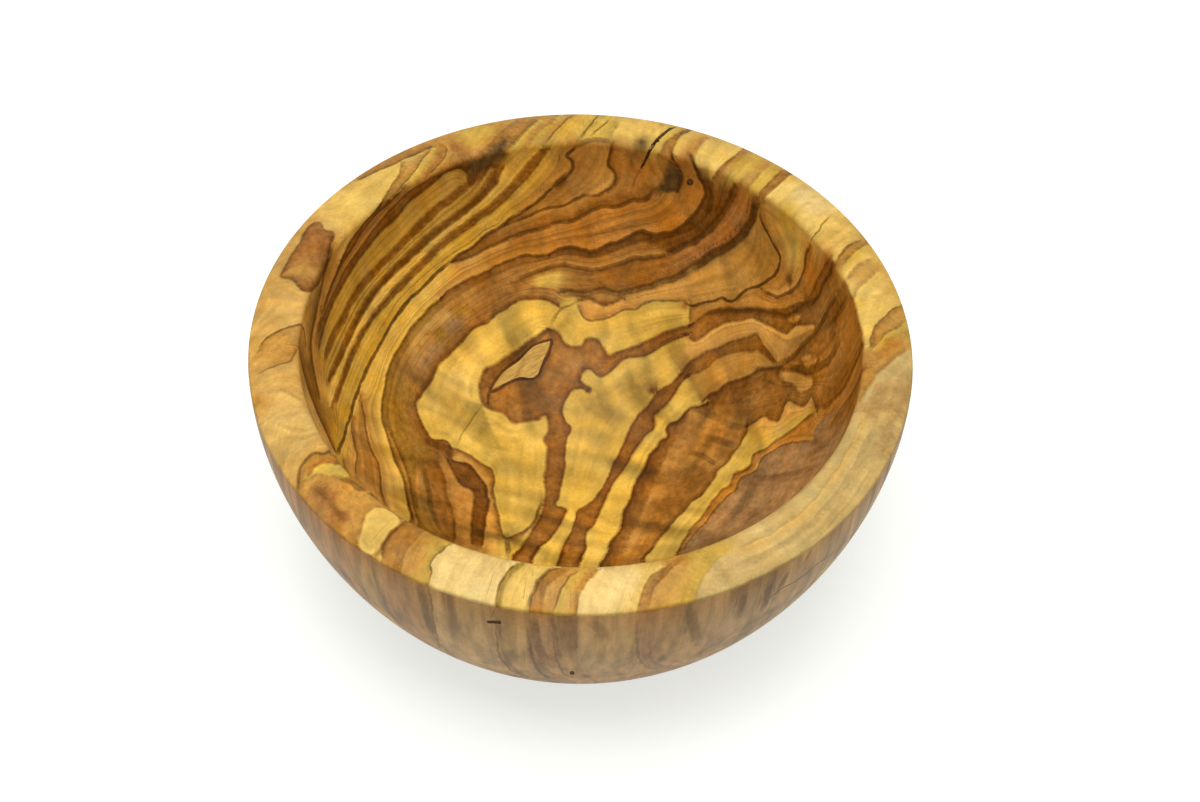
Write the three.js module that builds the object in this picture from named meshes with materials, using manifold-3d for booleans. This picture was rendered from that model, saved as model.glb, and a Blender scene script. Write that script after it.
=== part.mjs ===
// Olive wood bowl, turned on a lathe from one block of wood, with the natural flaws that lie in that wood as
// bodies of their own: an encased knot, the dark fill of a drying check, two pin knots and a fleck of bark.
// Millimetres, +Z up. The origin is the middle of the foot's underside.

import * as THREE from "three";
import { mergeVertices } from "three/addons/utils/BufferGeometryUtils.js";
import Module from "manifold-3d";

// Bowl sizes
const RIM_DIAMETER = 120;
const BOWL_HEIGHT = 55;
const FOOT_DIAMETER = 54;
const FLOOR_THICKNESS = 9;

// Lip sizes: the crown is its highest ring, and the brink is where the hollow starts
const LIP_OUTER_WIDTH = 7.5;
const LIP_INNER_WIDTH = 1.7;
const LIP_OUTER_DROP = 2;
const LIP_INNER_DROP = 1.2;

// How full the section's curves are: 0 cuts the corner straight, 1 goes right into it
const FOOT_FULLNESS = 0.5;
const OUTER_WALL_FULLNESS = 0.4;
const LIP_EDGE_FULLNESS = 0.8;
const LIP_CROWN_FULLNESS = 0.6;
const BRINK_FULLNESS = 0.55;
const INNER_WALL_FULLNESS = 0.54;
const FLOOR_FULLNESS = 0.51;

// Seam left all round a flaw where its bark or resin has shrunk away from the wood
const BARK_SEAM = 0.3;

// Encased knot low on the inner wall: azimuths run anticlockwise from +X, and the turn aims its head
const KNOT_LENGTH = 14.7;
const KNOT_WIDTH = 4.3;
const KNOT_LEAN = 2.2;
const KNOT_DEPTH = 4;
const KNOT_FROM_AXIS = 28.4;
const KNOT_AZIMUTH = 115.5;
const KNOT_TURN = 202;

// Drying check through the lip, filled with dark resin: its skew is its angle to the radius
const CHECK_THICKNESS = 0.6;
const CHECK_DEPTH = 5.4;
const CHECK_AZIMUTH = 75.7;
const CHECK_SKEW = -24;

// Pin knots, one high on the inner wall and one on the belly
const PIN_KNOT_DIAMETER = 1.2;
const PIN_KNOT_DEPTH = 3;
const INNER_PIN_BELOW_CROWN = 5.9;
const INNER_PIN_AZIMUTH = 67;
const OUTER_PIN_ABOVE_FOOT = 28.2;
const OUTER_PIN_AZIMUTH = -89.7;

// Fleck of bark outside, just under the lip
const FLECK_LENGTH = 2.4;
const FLECK_WIDTH = 0.9;
const FLECK_DEPTH = 1.5;
const FLECK_BELOW_EDGE = 5;
const FLECK_AZIMUTH = -102.6;

// Facets
const TURN_STEPS = 72;
const WALL_STEPS = 12;
const LIP_STEPS = 7;
const BRINK_STEPS = 4;
const OUTLINE_STEPS = 8;
const MERGE_DISTANCE = 1e-4;
const SEARCH_STEPS = 40;

const wasm = await Module();
wasm.setup();

// Section of the bowl, half of it, as radius and height
const rimRadius = RIM_DIAMETER / 2;
const footRadius = FOOT_DIAMETER / 2;
const edgeHeight = BOWL_HEIGHT - LIP_OUTER_DROP;
const crownRadius = rimRadius - LIP_OUTER_WIDTH;
const brinkRadius = crownRadius - LIP_INNER_WIDTH;
const brinkHeight = BOWL_HEIGHT - LIP_INNER_DROP;

const foot = new THREE.Vector2(footRadius, 0);
const edge = new THREE.Vector2(rimRadius, edgeHeight);
const crown = new THREE.Vector2(crownRadius, BOWL_HEIGHT);
const brink = new THREE.Vector2(brinkRadius, brinkHeight);
const floorCentre = new THREE.Vector2(0, FLOOR_THICKNESS);

// Curve from one section point to another, heading for a corner from each end
function sectionCurve(from, to, corner, fullnessFrom, fullnessTo) {
  const leave = from.clone().lerp(corner, fullnessFrom);
  const arrive = to.clone().lerp(corner, fullnessTo);
  return new THREE.CubicBezierCurve(from, leave, arrive, to);
}

const heel = new THREE.Vector2(edge.x, foot.y);
const outerWall = sectionCurve(foot, edge, heel, FOOT_FULLNESS, OUTER_WALL_FULLNESS);
const shoulder = new THREE.Vector2(edge.x, crown.y);
const lipOutside = sectionCurve(edge, crown, shoulder, LIP_EDGE_FULLNESS, LIP_CROWN_FULLNESS);
const innerShoulder = new THREE.Vector2(brink.x, crown.y);
const lipInside = sectionCurve(crown, brink, innerShoulder, BRINK_FULLNESS, BRINK_FULLNESS);
const innerHeel = new THREE.Vector2(brink.x, floorCentre.y);
const hollow = sectionCurve(brink, floorCentre, innerHeel, INNER_WALL_FULLNESS, FLOOR_FULLNESS);

// Closed mesh to solid: shared corners are merged and the slivers on the axis dropped
function solidOf(geometry) {
  const bare = geometry.clone();
  bare.deleteAttribute("normal");
  bare.deleteAttribute("uv");
  const merged = mergeVertices(bare, MERGE_DISTANCE);
  const index = merged.index.array;
  const triangles = [];
  for (let i = 0; i < index.length; i += 3) {
    const [a, b, c] = index.slice(i, i + 3);
    if (a !== b && b !== c && c !== a) triangles.push(a, b, c);
  }
  return new wasm.Manifold(new wasm.Mesh({
    numProp: 3,
    vertProperties: new Float32Array(merged.attributes.position.array),
    triVerts: new Uint32Array(triangles),
  }));
}

function geometryOf(solid) {
  const { vertProperties, triVerts } = solid.getMesh();
  const geometry = new THREE.BufferGeometry();
  geometry.setAttribute("position", new THREE.BufferAttribute(vertProperties, 3));
  geometry.setIndex(new THREE.BufferAttribute(triVerts, 1));
  geometry.computeVertexNormals();
  return geometry;
}

// Turned blank: the section spun about Z, before any flaw is let into it
function turnedBlank() {
  const section = [
    new THREE.Vector2(0, 0),
    ...outerWall.getPoints(WALL_STEPS),
    ...lipOutside.getPoints(LIP_STEPS).slice(1),
    ...lipInside.getPoints(BRINK_STEPS).slice(1),
    ...hollow.getPoints(WALL_STEPS).slice(1),
  ];
  return solidOf(new THREE.LatheGeometry(section, TURN_STEPS).rotateX(Math.PI / 2));
}

// Place along a section curve where its radius ("x") or height ("y") has the given value
function placeOn(curve, axis, value) {
  let low = 0;
  let high = 1;
  const rising = curve.getPoint(1)[axis] > curve.getPoint(0)[axis];
  for (let step = 0; step < SEARCH_STEPS; step += 1) {
    const middle = (low + high) / 2;
    if ((curve.getPoint(middle)[axis] < value) === rising) low = middle;
    else high = middle;
  }
  return low;
}

// Frame on the turned surface: X runs round the bowl, Y along the section, Z out of the wood
function surfaceFrame(curve, place, azimuth, turn = 0) {
  const at = curve.getPoint(place);
  const along = curve.getTangent(place);
  const swing = new THREE.Matrix4().makeRotationZ(THREE.MathUtils.degToRad(azimuth));
  const spin = new THREE.Matrix4().makeRotationZ(THREE.MathUtils.degToRad(turn));
  const round = new THREE.Vector3(0, 1, 0);
  const section = new THREE.Vector3(along.x, 0, along.y);
  const out = new THREE.Vector3().crossVectors(round, section);
  const frame = new THREE.Matrix4().makeBasis(round, section, out).setPosition(at.x, 0, at.y);
  return swing.multiply(frame).multiply(spin);
}

// Leaf outline: two arcs from tail to head, widest where the lean puts it
function leafShape(length, width, lean, grow) {
  const tip = length / 2 + grow;
  const pull = width + 2 * grow;
  return new THREE.Shape()
    .moveTo(-tip, 0)
    .quadraticCurveTo(lean, -pull, tip, 0)
    .quadraticCurveTo(lean, pull, -tip, 0);
}

function roundShape(diameter, grow) {
  return new THREE.Shape().absellipse(0, 0, diameter / 2 + grow, diameter / 2 + grow, 0, 2 * Math.PI);
}

// Straight-sided body through the surface, from its depth in the wood to a rise clear of it
function prism(shape, depth, rise, frame) {
  const options = { depth: depth + rise, bevelEnabled: false, curveSegments: OUTLINE_STEPS };
  const geometry = new THREE.ExtrudeGeometry(shape, options);
  return solidOf(geometry.translate(0, 0, -depth).applyMatrix4(frame));
}

// A flaw is what its own body shares with the blank, and its pocket is larger by the seam
function letIn(outline, depth, rise, frame) {
  return {
    body: prism(outline(0), depth, rise, frame),
    pocket: prism(outline(BARK_SEAM), depth + BARK_SEAM, rise, frame),
  };
}

function encasedKnot() {
  const frame = surfaceFrame(hollow, placeOn(hollow, "x", KNOT_FROM_AXIS), KNOT_AZIMUTH, KNOT_TURN);
  return letIn((grow) => leafShape(KNOT_LENGTH, KNOT_WIDTH, KNOT_LEAN, grow), KNOT_DEPTH, KNOT_LENGTH, frame);
}

function pinKnot(curve, place, azimuth) {
  const frame = surfaceFrame(curve, place, azimuth);
  return letIn((grow) => roundShape(PIN_KNOT_DIAMETER, grow), PIN_KNOT_DEPTH, PIN_KNOT_DIAMETER, frame);
}

function barkFleck() {
  const place = placeOn(outerWall, "y", edgeHeight - FLECK_BELOW_EDGE);
  const frame = surfaceFrame(outerWall, place, FLECK_AZIMUTH);
  return letIn((grow) => leafShape(FLECK_LENGTH, FLECK_WIDTH, 0, grow), FLECK_DEPTH, FLECK_LENGTH, frame);
}

// The check is a blade on edge, centred on the crown, that runs out of the lip at both sides and above
function dryingCheck() {
  const lipWidth = LIP_OUTER_WIDTH + LIP_INNER_WIDTH;
  const bladeLength = 4 * lipWidth;
  const blade = (grow) => {
    const box = new THREE.BoxGeometry(bladeLength, CHECK_THICKNESS + 2 * grow, 2 * (CHECK_DEPTH + grow));
    box.rotateZ(THREE.MathUtils.degToRad(CHECK_SKEW));
    box.translate(crownRadius, 0, BOWL_HEIGHT);
    return solidOf(box.rotateZ(THREE.MathUtils.degToRad(CHECK_AZIMUTH)));
  };
  return { body: blade(0), pocket: blade(BARK_SEAM) };
}

const blank = turnedBlank();
const innerPinPlace = placeOn(hollow, "y", BOWL_HEIGHT - INNER_PIN_BELOW_CROWN);
const outerPinPlace = placeOn(outerWall, "y", OUTER_PIN_ABOVE_FOOT);

const innerPin = pinKnot(hollow, innerPinPlace, INNER_PIN_AZIMUTH);
const outerPin = pinKnot(outerWall, outerPinPlace, OUTER_PIN_AZIMUTH);

const flaws = [
  { name: "floor_knot", color: 0xdcbf6e, roughness: 0.5, ...encasedKnot() },
  { name: "rim_check_fill", color: 0x3a2410, roughness: 0.6, ...dryingCheck() },
  { name: "inner_pin_knot", color: 0x2e1a0a, roughness: 0.6, ...innerPin },
  { name: "outer_pin_knot", color: 0x3e2a18, roughness: 0.6, ...outerPin },
  { name: "outer_bark_fleck", color: 0x4a3424, roughness: 0.7, ...barkFleck() },
];

function namedMesh(name, solid, color, roughness) {
  const material = new THREE.MeshStandardMaterial({ color, roughness, metalness: 0 });
  const mesh = new THREE.Mesh(geometryOf(solid), material);
  mesh.name = name;
  return mesh;
}

const bowlBody = flaws.reduce((wood, flaw) => wood.subtract(flaw.pocket), blank);

const bowl = new THREE.Group();
bowl.add(namedMesh("bowl_body", bowlBody, 0xbe8a3c, 0.45));
for (const flaw of flaws) {
  bowl.add(namedMesh(flaw.name, blank.intersect(flaw.body), flaw.color, flaw.roughness));
}

export default bowl;
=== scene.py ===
import math
import bpy
import numpy as np
from mathutils import Matrix, Vector


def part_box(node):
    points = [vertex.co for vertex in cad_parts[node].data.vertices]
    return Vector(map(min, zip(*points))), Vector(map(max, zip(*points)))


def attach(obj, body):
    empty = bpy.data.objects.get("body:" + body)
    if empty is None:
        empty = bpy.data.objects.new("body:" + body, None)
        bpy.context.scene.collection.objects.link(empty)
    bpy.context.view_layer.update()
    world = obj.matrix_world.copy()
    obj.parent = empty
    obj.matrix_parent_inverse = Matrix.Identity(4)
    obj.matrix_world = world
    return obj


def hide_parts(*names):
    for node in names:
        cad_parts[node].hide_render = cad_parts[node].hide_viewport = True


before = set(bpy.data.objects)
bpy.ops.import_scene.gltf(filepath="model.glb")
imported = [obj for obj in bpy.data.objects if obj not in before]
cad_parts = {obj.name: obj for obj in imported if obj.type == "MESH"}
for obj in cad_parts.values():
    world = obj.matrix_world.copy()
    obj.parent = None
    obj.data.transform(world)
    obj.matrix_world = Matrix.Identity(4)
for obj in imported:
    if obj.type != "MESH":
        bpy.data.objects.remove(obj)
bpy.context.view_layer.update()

MM = 0.001
FRAME_WIDTH, FRAME_HEIGHT = 1200, 802
SENSOR_WIDTH_MM, LENS_MM = 36.0, 90.0
PIXELS_PER_SLOPE = FRAME_WIDTH * LENS_MM / SENSOR_WIDTH_MM
VIEW_ELEVATION, VIEW_LEAN = math.radians(49.61), math.radians(1.80)
VIEW_DISTANCE_MM, VIEW_AIM_MM = 554.2, Vector((3.73, 0.0, 38.10))
NEAREST_SEEN = 0.01

view_back = Vector((0, -math.cos(VIEW_ELEVATION), math.sin(VIEW_ELEVATION)))
level_side = Vector((1, 0, 0))
level_up = view_back.cross(level_side)
view_side = level_side * math.cos(VIEW_LEAN) + level_up * math.sin(VIEW_LEAN)
view_up = level_up * math.cos(VIEW_LEAN) - level_side * math.sin(VIEW_LEAN)
view_turn = Matrix((view_side, view_up, view_back)).transposed().to_4x4()
view_place = (VIEW_AIM_MM + view_back * VIEW_DISTANCE_MM) * MM

bpy.ops.object.select_all(action="DESELECT")
bpy.ops.object.camera_add()
camera = bpy.context.object
camera.name = "viewer"
camera.matrix_world = Matrix.Translation(view_place) @ view_turn
camera.data.sensor_fit = "HORIZONTAL"
camera.data.sensor_width = SENSOR_WIDTH_MM
camera.data.lens = LENS_MM
camera.data.clip_start = NEAREST_SEEN
bpy.context.scene.camera = camera
bpy.context.scene.view_settings.view_transform = "Standard"


# The ground and the light. The bowl stands on a plain white sheet in a white room, under a wide soft lamp
# that hangs above it, a little in front. The sheet glows slightly, to look white round the soft shadow.
SHEET_SIZE, SHEET_WHITE, SHEET_SHADE = 6.0, "FBFDFA", "BEC2BC"
SHEET_GLOW, FAR_GLOW, GLOW_REACH = 0.7, 0.9, (0.25, 0.9)
ROOM_WHITE, ROOM_LIGHT, ROOM_SEEN = (1, 1, 1, 1), 0.26, 1.0
LAMP_WIDTH, LAMP_PLACE, LAMP_POWER = 0.55, Vector((-0.03, -0.12, 0.85)), 6.65


def linear(hex_code):
    """An sRGB hex colour as linear red, green and blue."""
    parts = [int(hex_code[i:i + 2], 16) / 255 for i in (0, 2, 4)]
    return [p / 12.92 if p <= 0.04045 else ((p + 0.055) / 1.055) ** 2.4 for p in parts]


def new_material(name):
    """An empty material with its node tree, ready for nodes."""
    material = bpy.data.materials.new(name)
    material.use_nodes = True
    material.node_tree.nodes.clear()
    return material, material.node_tree


def put(tree, kind, settings=None, **sockets):
    """Add a node with its settings. A socket takes a value, or a (node, output) pair to link from."""
    node = tree.nodes.new(kind)
    for key, value in (settings or {}).items():
        setattr(node, key, value)
    for key, value in sockets.items():
        numbered = key[0] == "i" and key[1:].isdigit()
        socket = node.inputs[int(key[1:]) if numbered else key.replace("_", " ")]
        if isinstance(value, tuple) and isinstance(value[0], bpy.types.Node):
            tree.links.new(value[0].outputs[value[1]], socket)
        else:
            socket.default_value = value
    return node


def straight_rays(tree):
    """A node that is 1 for rays from the eye, a mirror or glass, and 0 for rays of bounced light."""
    light_path = put(tree, "ShaderNodeLightPath")
    mirrored = put(tree, "ShaderNodeMath", {"operation": "ADD"}, i0=(light_path, "Is Glossy Ray"),
                   i1=(light_path, "Is Transmission Ray"))
    return put(tree, "ShaderNodeMath", {"operation": "ADD"}, i0=(light_path, "Is Camera Ray"),
               i1=(mirrored, 0))


# White paper: matt, a little greyer in the shadow than in the glow.
sheet_paper, tree = new_material("matt white paper")
bounced = put(tree, "ShaderNodeBsdfDiffuse", Color=(*linear(SHEET_SHADE), 1))
coords = put(tree, "ShaderNodeTexCoord")
from_middle = put(tree, "ShaderNodeVectorMath", {"operation": "LENGTH"}, Vector=(coords, "Object"))
glow_here = put(tree, "ShaderNodeMapRange", Value=(from_middle, "Value"), From_Min=GLOW_REACH[0],
                From_Max=GLOW_REACH[1], To_Min=SHEET_GLOW, To_Max=FAR_GLOW)
seen = put(tree, "ShaderNodeMath", {"operation": "MULTIPLY"}, i0=(straight_rays(tree), 0),
           i1=(glow_here, 0))
glow = put(tree, "ShaderNodeEmission", Color=(*linear(SHEET_WHITE), 1), Strength=(seen, 0))
mixed = put(tree, "ShaderNodeAddShader", i0=(bounced, 0), i1=(glow, 0))
put(tree, "ShaderNodeOutputMaterial", Surface=(mixed, 0))

bpy.ops.mesh.primitive_plane_add(size=SHEET_SIZE)
sheet = bpy.context.object
sheet.name = "white_sheet"
sheet.data.materials.append(sheet_paper)

room = bpy.data.worlds.new("white room")
bpy.context.scene.world = room
room.use_nodes = True
tree = room.node_tree
tree.nodes.clear()
lit = put(tree, "ShaderNodeBackground", Color=ROOM_WHITE, Strength=ROOM_LIGHT)
backdrop = put(tree, "ShaderNodeBackground", Color=ROOM_WHITE, Strength=ROOM_SEEN)
mixed = put(tree, "ShaderNodeMixShader", Fac=(straight_rays(tree), 0), i1=(lit, 0), i2=(backdrop, 0))
put(tree, "ShaderNodeOutputWorld", Surface=(mixed, 0))

bpy.ops.object.light_add(type="AREA", location=LAMP_PLACE)
lamp = bpy.context.object
lamp.name = "soft_lamp"
lamp.data.size = LAMP_WIDTH
lamp.data.energy = LAMP_POWER
lamp.rotation_euler = (LAMP_PLACE - VIEW_AIM_MM * MM).to_track_quat("Z", "Y").to_euler()


# The bowl. It is turned on a lathe from one block of olive wood, about 120 mm across, hollowed to an even
# wall with a thick domed lip, sanded fine and rubbed with oil. Its flat foot stands on the sheet.
bowl_low, bowl_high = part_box("bowl_body")
RIM_RADIUS = (bowl_high[0] - bowl_low[0]) / 2 / MM
BOWL_HEIGHT = bowl_high[2] / MM
FOOT_RADIUS, FLOOR_THICKNESS = 27.0, 9.0
LIP_OUTER_WIDTH, LIP_INNER_WIDTH = 7.5, 1.7
LIP_OUTER_DROP, LIP_INNER_DROP = 2.0, 1.2
LIP_EDGE_WIDTH, LIP_EDGE_DROP, LIP_EDGE_TUCK = 0.5, 0.5, 0.15
BELLY_FULLNESS, HOLLOW_FULLNESS = (0.5, 0.4), (0.51, 0.54)
BRINK_FULLNESS, CROWN_FULLNESS, EDGE_FULLNESS = (0.55, 0.55), (0.67, 0.67), (0.6, 0.6)
CURVE_POINTS = 400
SECTION_STEP, EDGE_STEP, OUTER_STEP, FOOT_STEP = 0.56, 0.14, 1.3, 9.0
TURN_STEPS = 420
MERGE_DISTANCE = 1e-6
SMOOTH_ANGLE = math.radians(40)


def section_curve(start, end, corner, fullness):
    """Finely spaced points of a curve that leaves start and reaches end by way of a corner."""
    start, end, corner = (np.array(p, float) for p in (start, end, corner))
    near_start = start + (corner - start) * fullness[0]
    near_end = end + (corner - end) * fullness[1]
    t = np.linspace(0, 1, CURVE_POINTS)[:, None]
    return ((1 - t) ** 3 * start + 3 * (1 - t) ** 2 * t * near_start
            + 3 * (1 - t) * t ** 2 * near_end + t ** 3 * end)


def runs_along(points):
    """How far along a line each of its points lies."""
    return np.concatenate([[0], np.cumsum(np.linalg.norm(np.diff(points, axis=0), axis=1))])


def spaced(points, step):
    """The same line, with its points set an equal step apart."""
    run = runs_along(points)
    count = max(2, round(run[-1] / step) + 1)
    at = np.linspace(0, run[-1], count)
    return np.stack([np.interp(at, run, points[:, k]) for k in range(points.shape[1])], 1)


edge = (RIM_RADIUS, BOWL_HEIGHT - LIP_OUTER_DROP)
crown = (RIM_RADIUS - LIP_OUTER_WIDTH, BOWL_HEIGHT)
shoulder = (RIM_RADIUS - LIP_EDGE_WIDTH, edge[1] + LIP_EDGE_DROP)
brink = (crown[0] - LIP_INNER_WIDTH, BOWL_HEIGHT - LIP_INNER_DROP)
floor_middle = (0.0, FLOOR_THICKNESS)
foot_edge = (FOOT_RADIUS, 0.0)
hollow_and_lip = np.concatenate([
    section_curve(floor_middle, brink, (brink[0], FLOOR_THICKNESS), HOLLOW_FULLNESS),
    section_curve(brink, crown, (brink[0], BOWL_HEIGHT), BRINK_FULLNESS)[1:],
    section_curve(crown, shoulder, ((crown[0] + shoulder[0]) / 2, BOWL_HEIGHT), CROWN_FULLNESS)[1:]])
lip_edge = section_curve(shoulder, edge, (RIM_RADIUS, shoulder[1] - LIP_EDGE_TUCK), EDGE_FULLNESS)
inner_side = np.concatenate([spaced(hollow_and_lip, SECTION_STEP), spaced(lip_edge, EDGE_STEP)[1:]])
outer_points = spaced(section_curve(foot_edge, edge, (RIM_RADIUS, 0), BELLY_FULLNESS), OUTER_STEP)
section = np.concatenate([
    spaced(np.array([(0.0, 0.0), foot_edge]), FOOT_STEP),
    outer_points[1:-1],
    spaced(outer_points[-2:], 2 * EDGE_STEP)[1:],
    inner_side[::-1][1:]])

bpy.ops.object.select_all(action="DESELECT")
bpy.ops.mesh.primitive_plane_add(size=MM)
bowl = bpy.context.object
bowl.name = "turned_bowl"
bpy.ops.object.mode_set(mode="EDIT")
bpy.ops.mesh.merge(type="CENTER")
for (radius_a, height_a), (radius_b, height_b) in zip(section[:-1], section[1:]):
    step = ((radius_b - radius_a) * MM, 0, (height_b - height_a) * MM)
    bpy.ops.mesh.extrude_region_move(TRANSFORM_OT_translate={"value": step})
bpy.ops.mesh.select_all(action="SELECT")
bpy.ops.mesh.spin(steps=TURN_STEPS, angle=math.tau, center=(0, 0, 0), axis=(0, 0, 1))
bpy.ops.mesh.select_all(action="SELECT")
bpy.ops.mesh.remove_doubles(threshold=MERGE_DISTANCE)
bpy.ops.mesh.normals_make_consistent(inside=False)
bpy.ops.object.mode_set(mode="OBJECT")
bpy.ops.object.shade_smooth_by_angle(angle=SMOOTH_ANGLE)
bpy.context.view_layer.update()

# How the figure is laid on the wood. Each streak is walked along on the hollow and the lip, which are
# flattened by unrolling every radius to its true length. The wood takes one tone on the left hand of the
# walk and one on its right, the tones flow into each other between streaks, and a dark line may run along
# the walk. The same layers come out below on the outside, because the block's growth layers stand upright.
inner_radius, inner_height = inner_side[:, 0], inner_side[:, 1]
inner_run = runs_along(inner_side)
inner_rise = np.gradient(inner_side, inner_run, axis=0)
outer_side = section[:len(section) - len(inner_side) + 1]
outer_run = runs_along(outer_side)
outer_rise = -np.gradient(outer_side, outer_run, axis=0)
HOLLOW, BELLY = (inner_side, inner_run, inner_rise), (outer_side, outer_run, outer_rise)
SKIN_MARGIN = 0.3
WALK_STEP, WALK_CURVE_STEPS, LONGEST_GAP = 0.4, 12, 5.0
LINE_REACH = 1.9
SEARCH_REACH = LINE_REACH + 1
SEARCH_BATCH = 4000
NEARLY_ZERO = 1e-9


def surface_at(flat, side=HOLLOW):
    """Places and facing directions, in mm, for flattened points of the hollow or the belly."""
    points, side_run, side_rise = side
    run = np.linalg.norm(flat, axis=1)
    way = flat / np.maximum(run, NEARLY_ZERO)[:, None]
    radius, height = (np.interp(run, side_run, points[:, k]) for k in (0, 1))
    out, up = (np.interp(run, side_run, side_rise[:, k]) for k in (0, 1))
    place = np.column_stack([way * radius[:, None], height])
    facing = np.column_stack([way * -up[:, None], out])
    return place, facing / np.linalg.norm(facing, axis=1)[:, None]


def flattened(plan):
    """Flattened points for points seen from straight above, in mm."""
    radius = np.linalg.norm(plan, axis=1)
    run = np.interp(radius, inner_radius, inner_run)
    return plan / np.maximum(radius, NEARLY_ZERO)[:, None] * run[:, None]


def under_the_skin(places):
    """Which places, in mm, lie below the hollow and the lip: those on the belly and the foot."""
    radius = np.linalg.norm(places[:, :2], axis=1)
    return places[:, 2] < np.interp(radius, inner_radius, inner_height) - SKIN_MARGIN


def seen_at(pixels):
    """Flattened points of the bowl behind pixels of the frame, and the side they lie on."""
    met_places = []
    for across, down in pixels:
        slope_side = (across - FRAME_WIDTH / 2) / PIXELS_PER_SLOPE
        slope_up = (FRAME_HEIGHT / 2 - down) / PIXELS_PER_SLOPE
        ray = (view_side * slope_side + view_up * slope_up - view_back).normalized()
        met, place, _, _ = bowl.ray_cast(view_place, ray)
        if met:
            met_places.append(place / MM)
    met_places = np.array(met_places)
    radius = np.linalg.norm(met_places[:, :2], axis=1)
    on_belly = under_the_skin(met_places)
    side = BELLY if on_belly.mean() > 0.5 else HOLLOW
    kept = on_belly == (side is BELLY)
    points, side_run, _ = side
    run = np.interp((radius + met_places[:, 2])[kept], points.sum(1), side_run)
    return met_places[kept, :2] / radius[kept, None] * run[:, None], side


def spaced_gaps(points):
    """The same points, with more of them set in line wherever two lie far apart."""
    pieces = [points[:1]]
    for a, b in zip(points[:-1], points[1:]):
        count = math.ceil(np.linalg.norm(b - a) / LONGEST_GAP)
        pieces.append(a + (b - a) * (np.arange(1, count + 1) / count)[:, None])
    return np.concatenate(pieces)


def smooth_walk(points, closed):
    """A smooth line through flattened points, with a point every WALK_STEP."""
    points = spaced_gaps(points)
    before, after = 2 * points[0] - points[1], 2 * points[-1:] - points[-2:-1]
    if closed:
        before, after = points[-1], points[:2]
    path = np.concatenate([[before], points, after])
    pieces = []
    t = np.linspace(0, 1, WALK_CURVE_STEPS, endpoint=False)[:, None]
    for a, b, c, d in zip(path, path[1:], path[2:], path[3:]):
        pieces.append(0.5 * (2 * b + (c - a) * t + (2 * a - 5 * b + 4 * c - d) * t ** 2
                             + (3 * b - a - 3 * c + d) * t ** 3))
    pieces.append(path[-2:-1])
    return spaced(np.concatenate(pieces), WALK_STEP)


def offsets(walk, closed, places, side=HOLLOW):
    """Which places lie near a walk, how far to its left each is in mm, and the nearest step of the walk."""
    place, facing = surface_at(walk, side)
    ahead = np.gradient(place, axis=0)
    ahead /= np.linalg.norm(ahead, axis=1)[:, None]
    left = np.cross(facing, ahead)
    low, high = place.min(0) - SEARCH_REACH, place.max(0) + SEARCH_REACH
    near = np.flatnonzero(np.all((places > low) & (places < high), axis=1))
    if not len(near):
        return near, np.zeros(0), np.zeros(0, int)
    step = np.empty(len(near), int)
    for start in range(0, len(near), SEARCH_BATCH):
        some = places[near[start:start + SEARCH_BATCH]]
        gap = (some ** 2).sum(1)[:, None] - 2 * some @ place.T + (place ** 2).sum(1)
        step[start:start + SEARCH_BATCH] = gap.argmin(1)
    away = places[near] - place[step]
    aside = (away * left[step]).sum(1)
    along = (away * ahead[step]).sum(1)
    lifted = np.linalg.norm(away, axis=1)
    at_end = (not closed) & ((step == 0) | (step == len(walk) - 1))
    beyond = at_end & (np.abs(along) > WALK_STEP)
    far = np.where(beyond, np.hypot(aside, along), np.abs(aside))
    offset = np.where(aside >= 0, 1.0, -1.0) * np.where(lifted > SEARCH_REACH, lifted, far)
    inside = np.abs(offset) < LINE_REACH
    return near[inside], offset[inside], step[inside]


# The tones of the wood, the tone of its dark lines, and the darkest and palest tones that it may take.
WOOD_TONES = {
    "cream": "E9C57A", "straw": "E2B85C", "wheat": "CFA052", "gold": "CEA646", "sand": "CBAA67",
    "honey": "C48E40", "amber": "B67C30", "tan": "AE7832", "rust": "B0742C", "ash": "9A7244",
    "moss": "966A22", "brown": "925E20", "umber": "744614", "smoke": "624822", "biscuit": "D8AE60",
    "outer": "D0A276", "russet": "A0682E", "caramel": "B08038", "olive": "C2943A", "saffron": "CE9E38",
    "corn": "E2B24C", "dune": "B48F54", "cinnamon": "A26A20"}
LINE_TONE, DARKEST_TONE, PALEST_TONE = "523008", "5C3408", "F2CE86"

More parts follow.
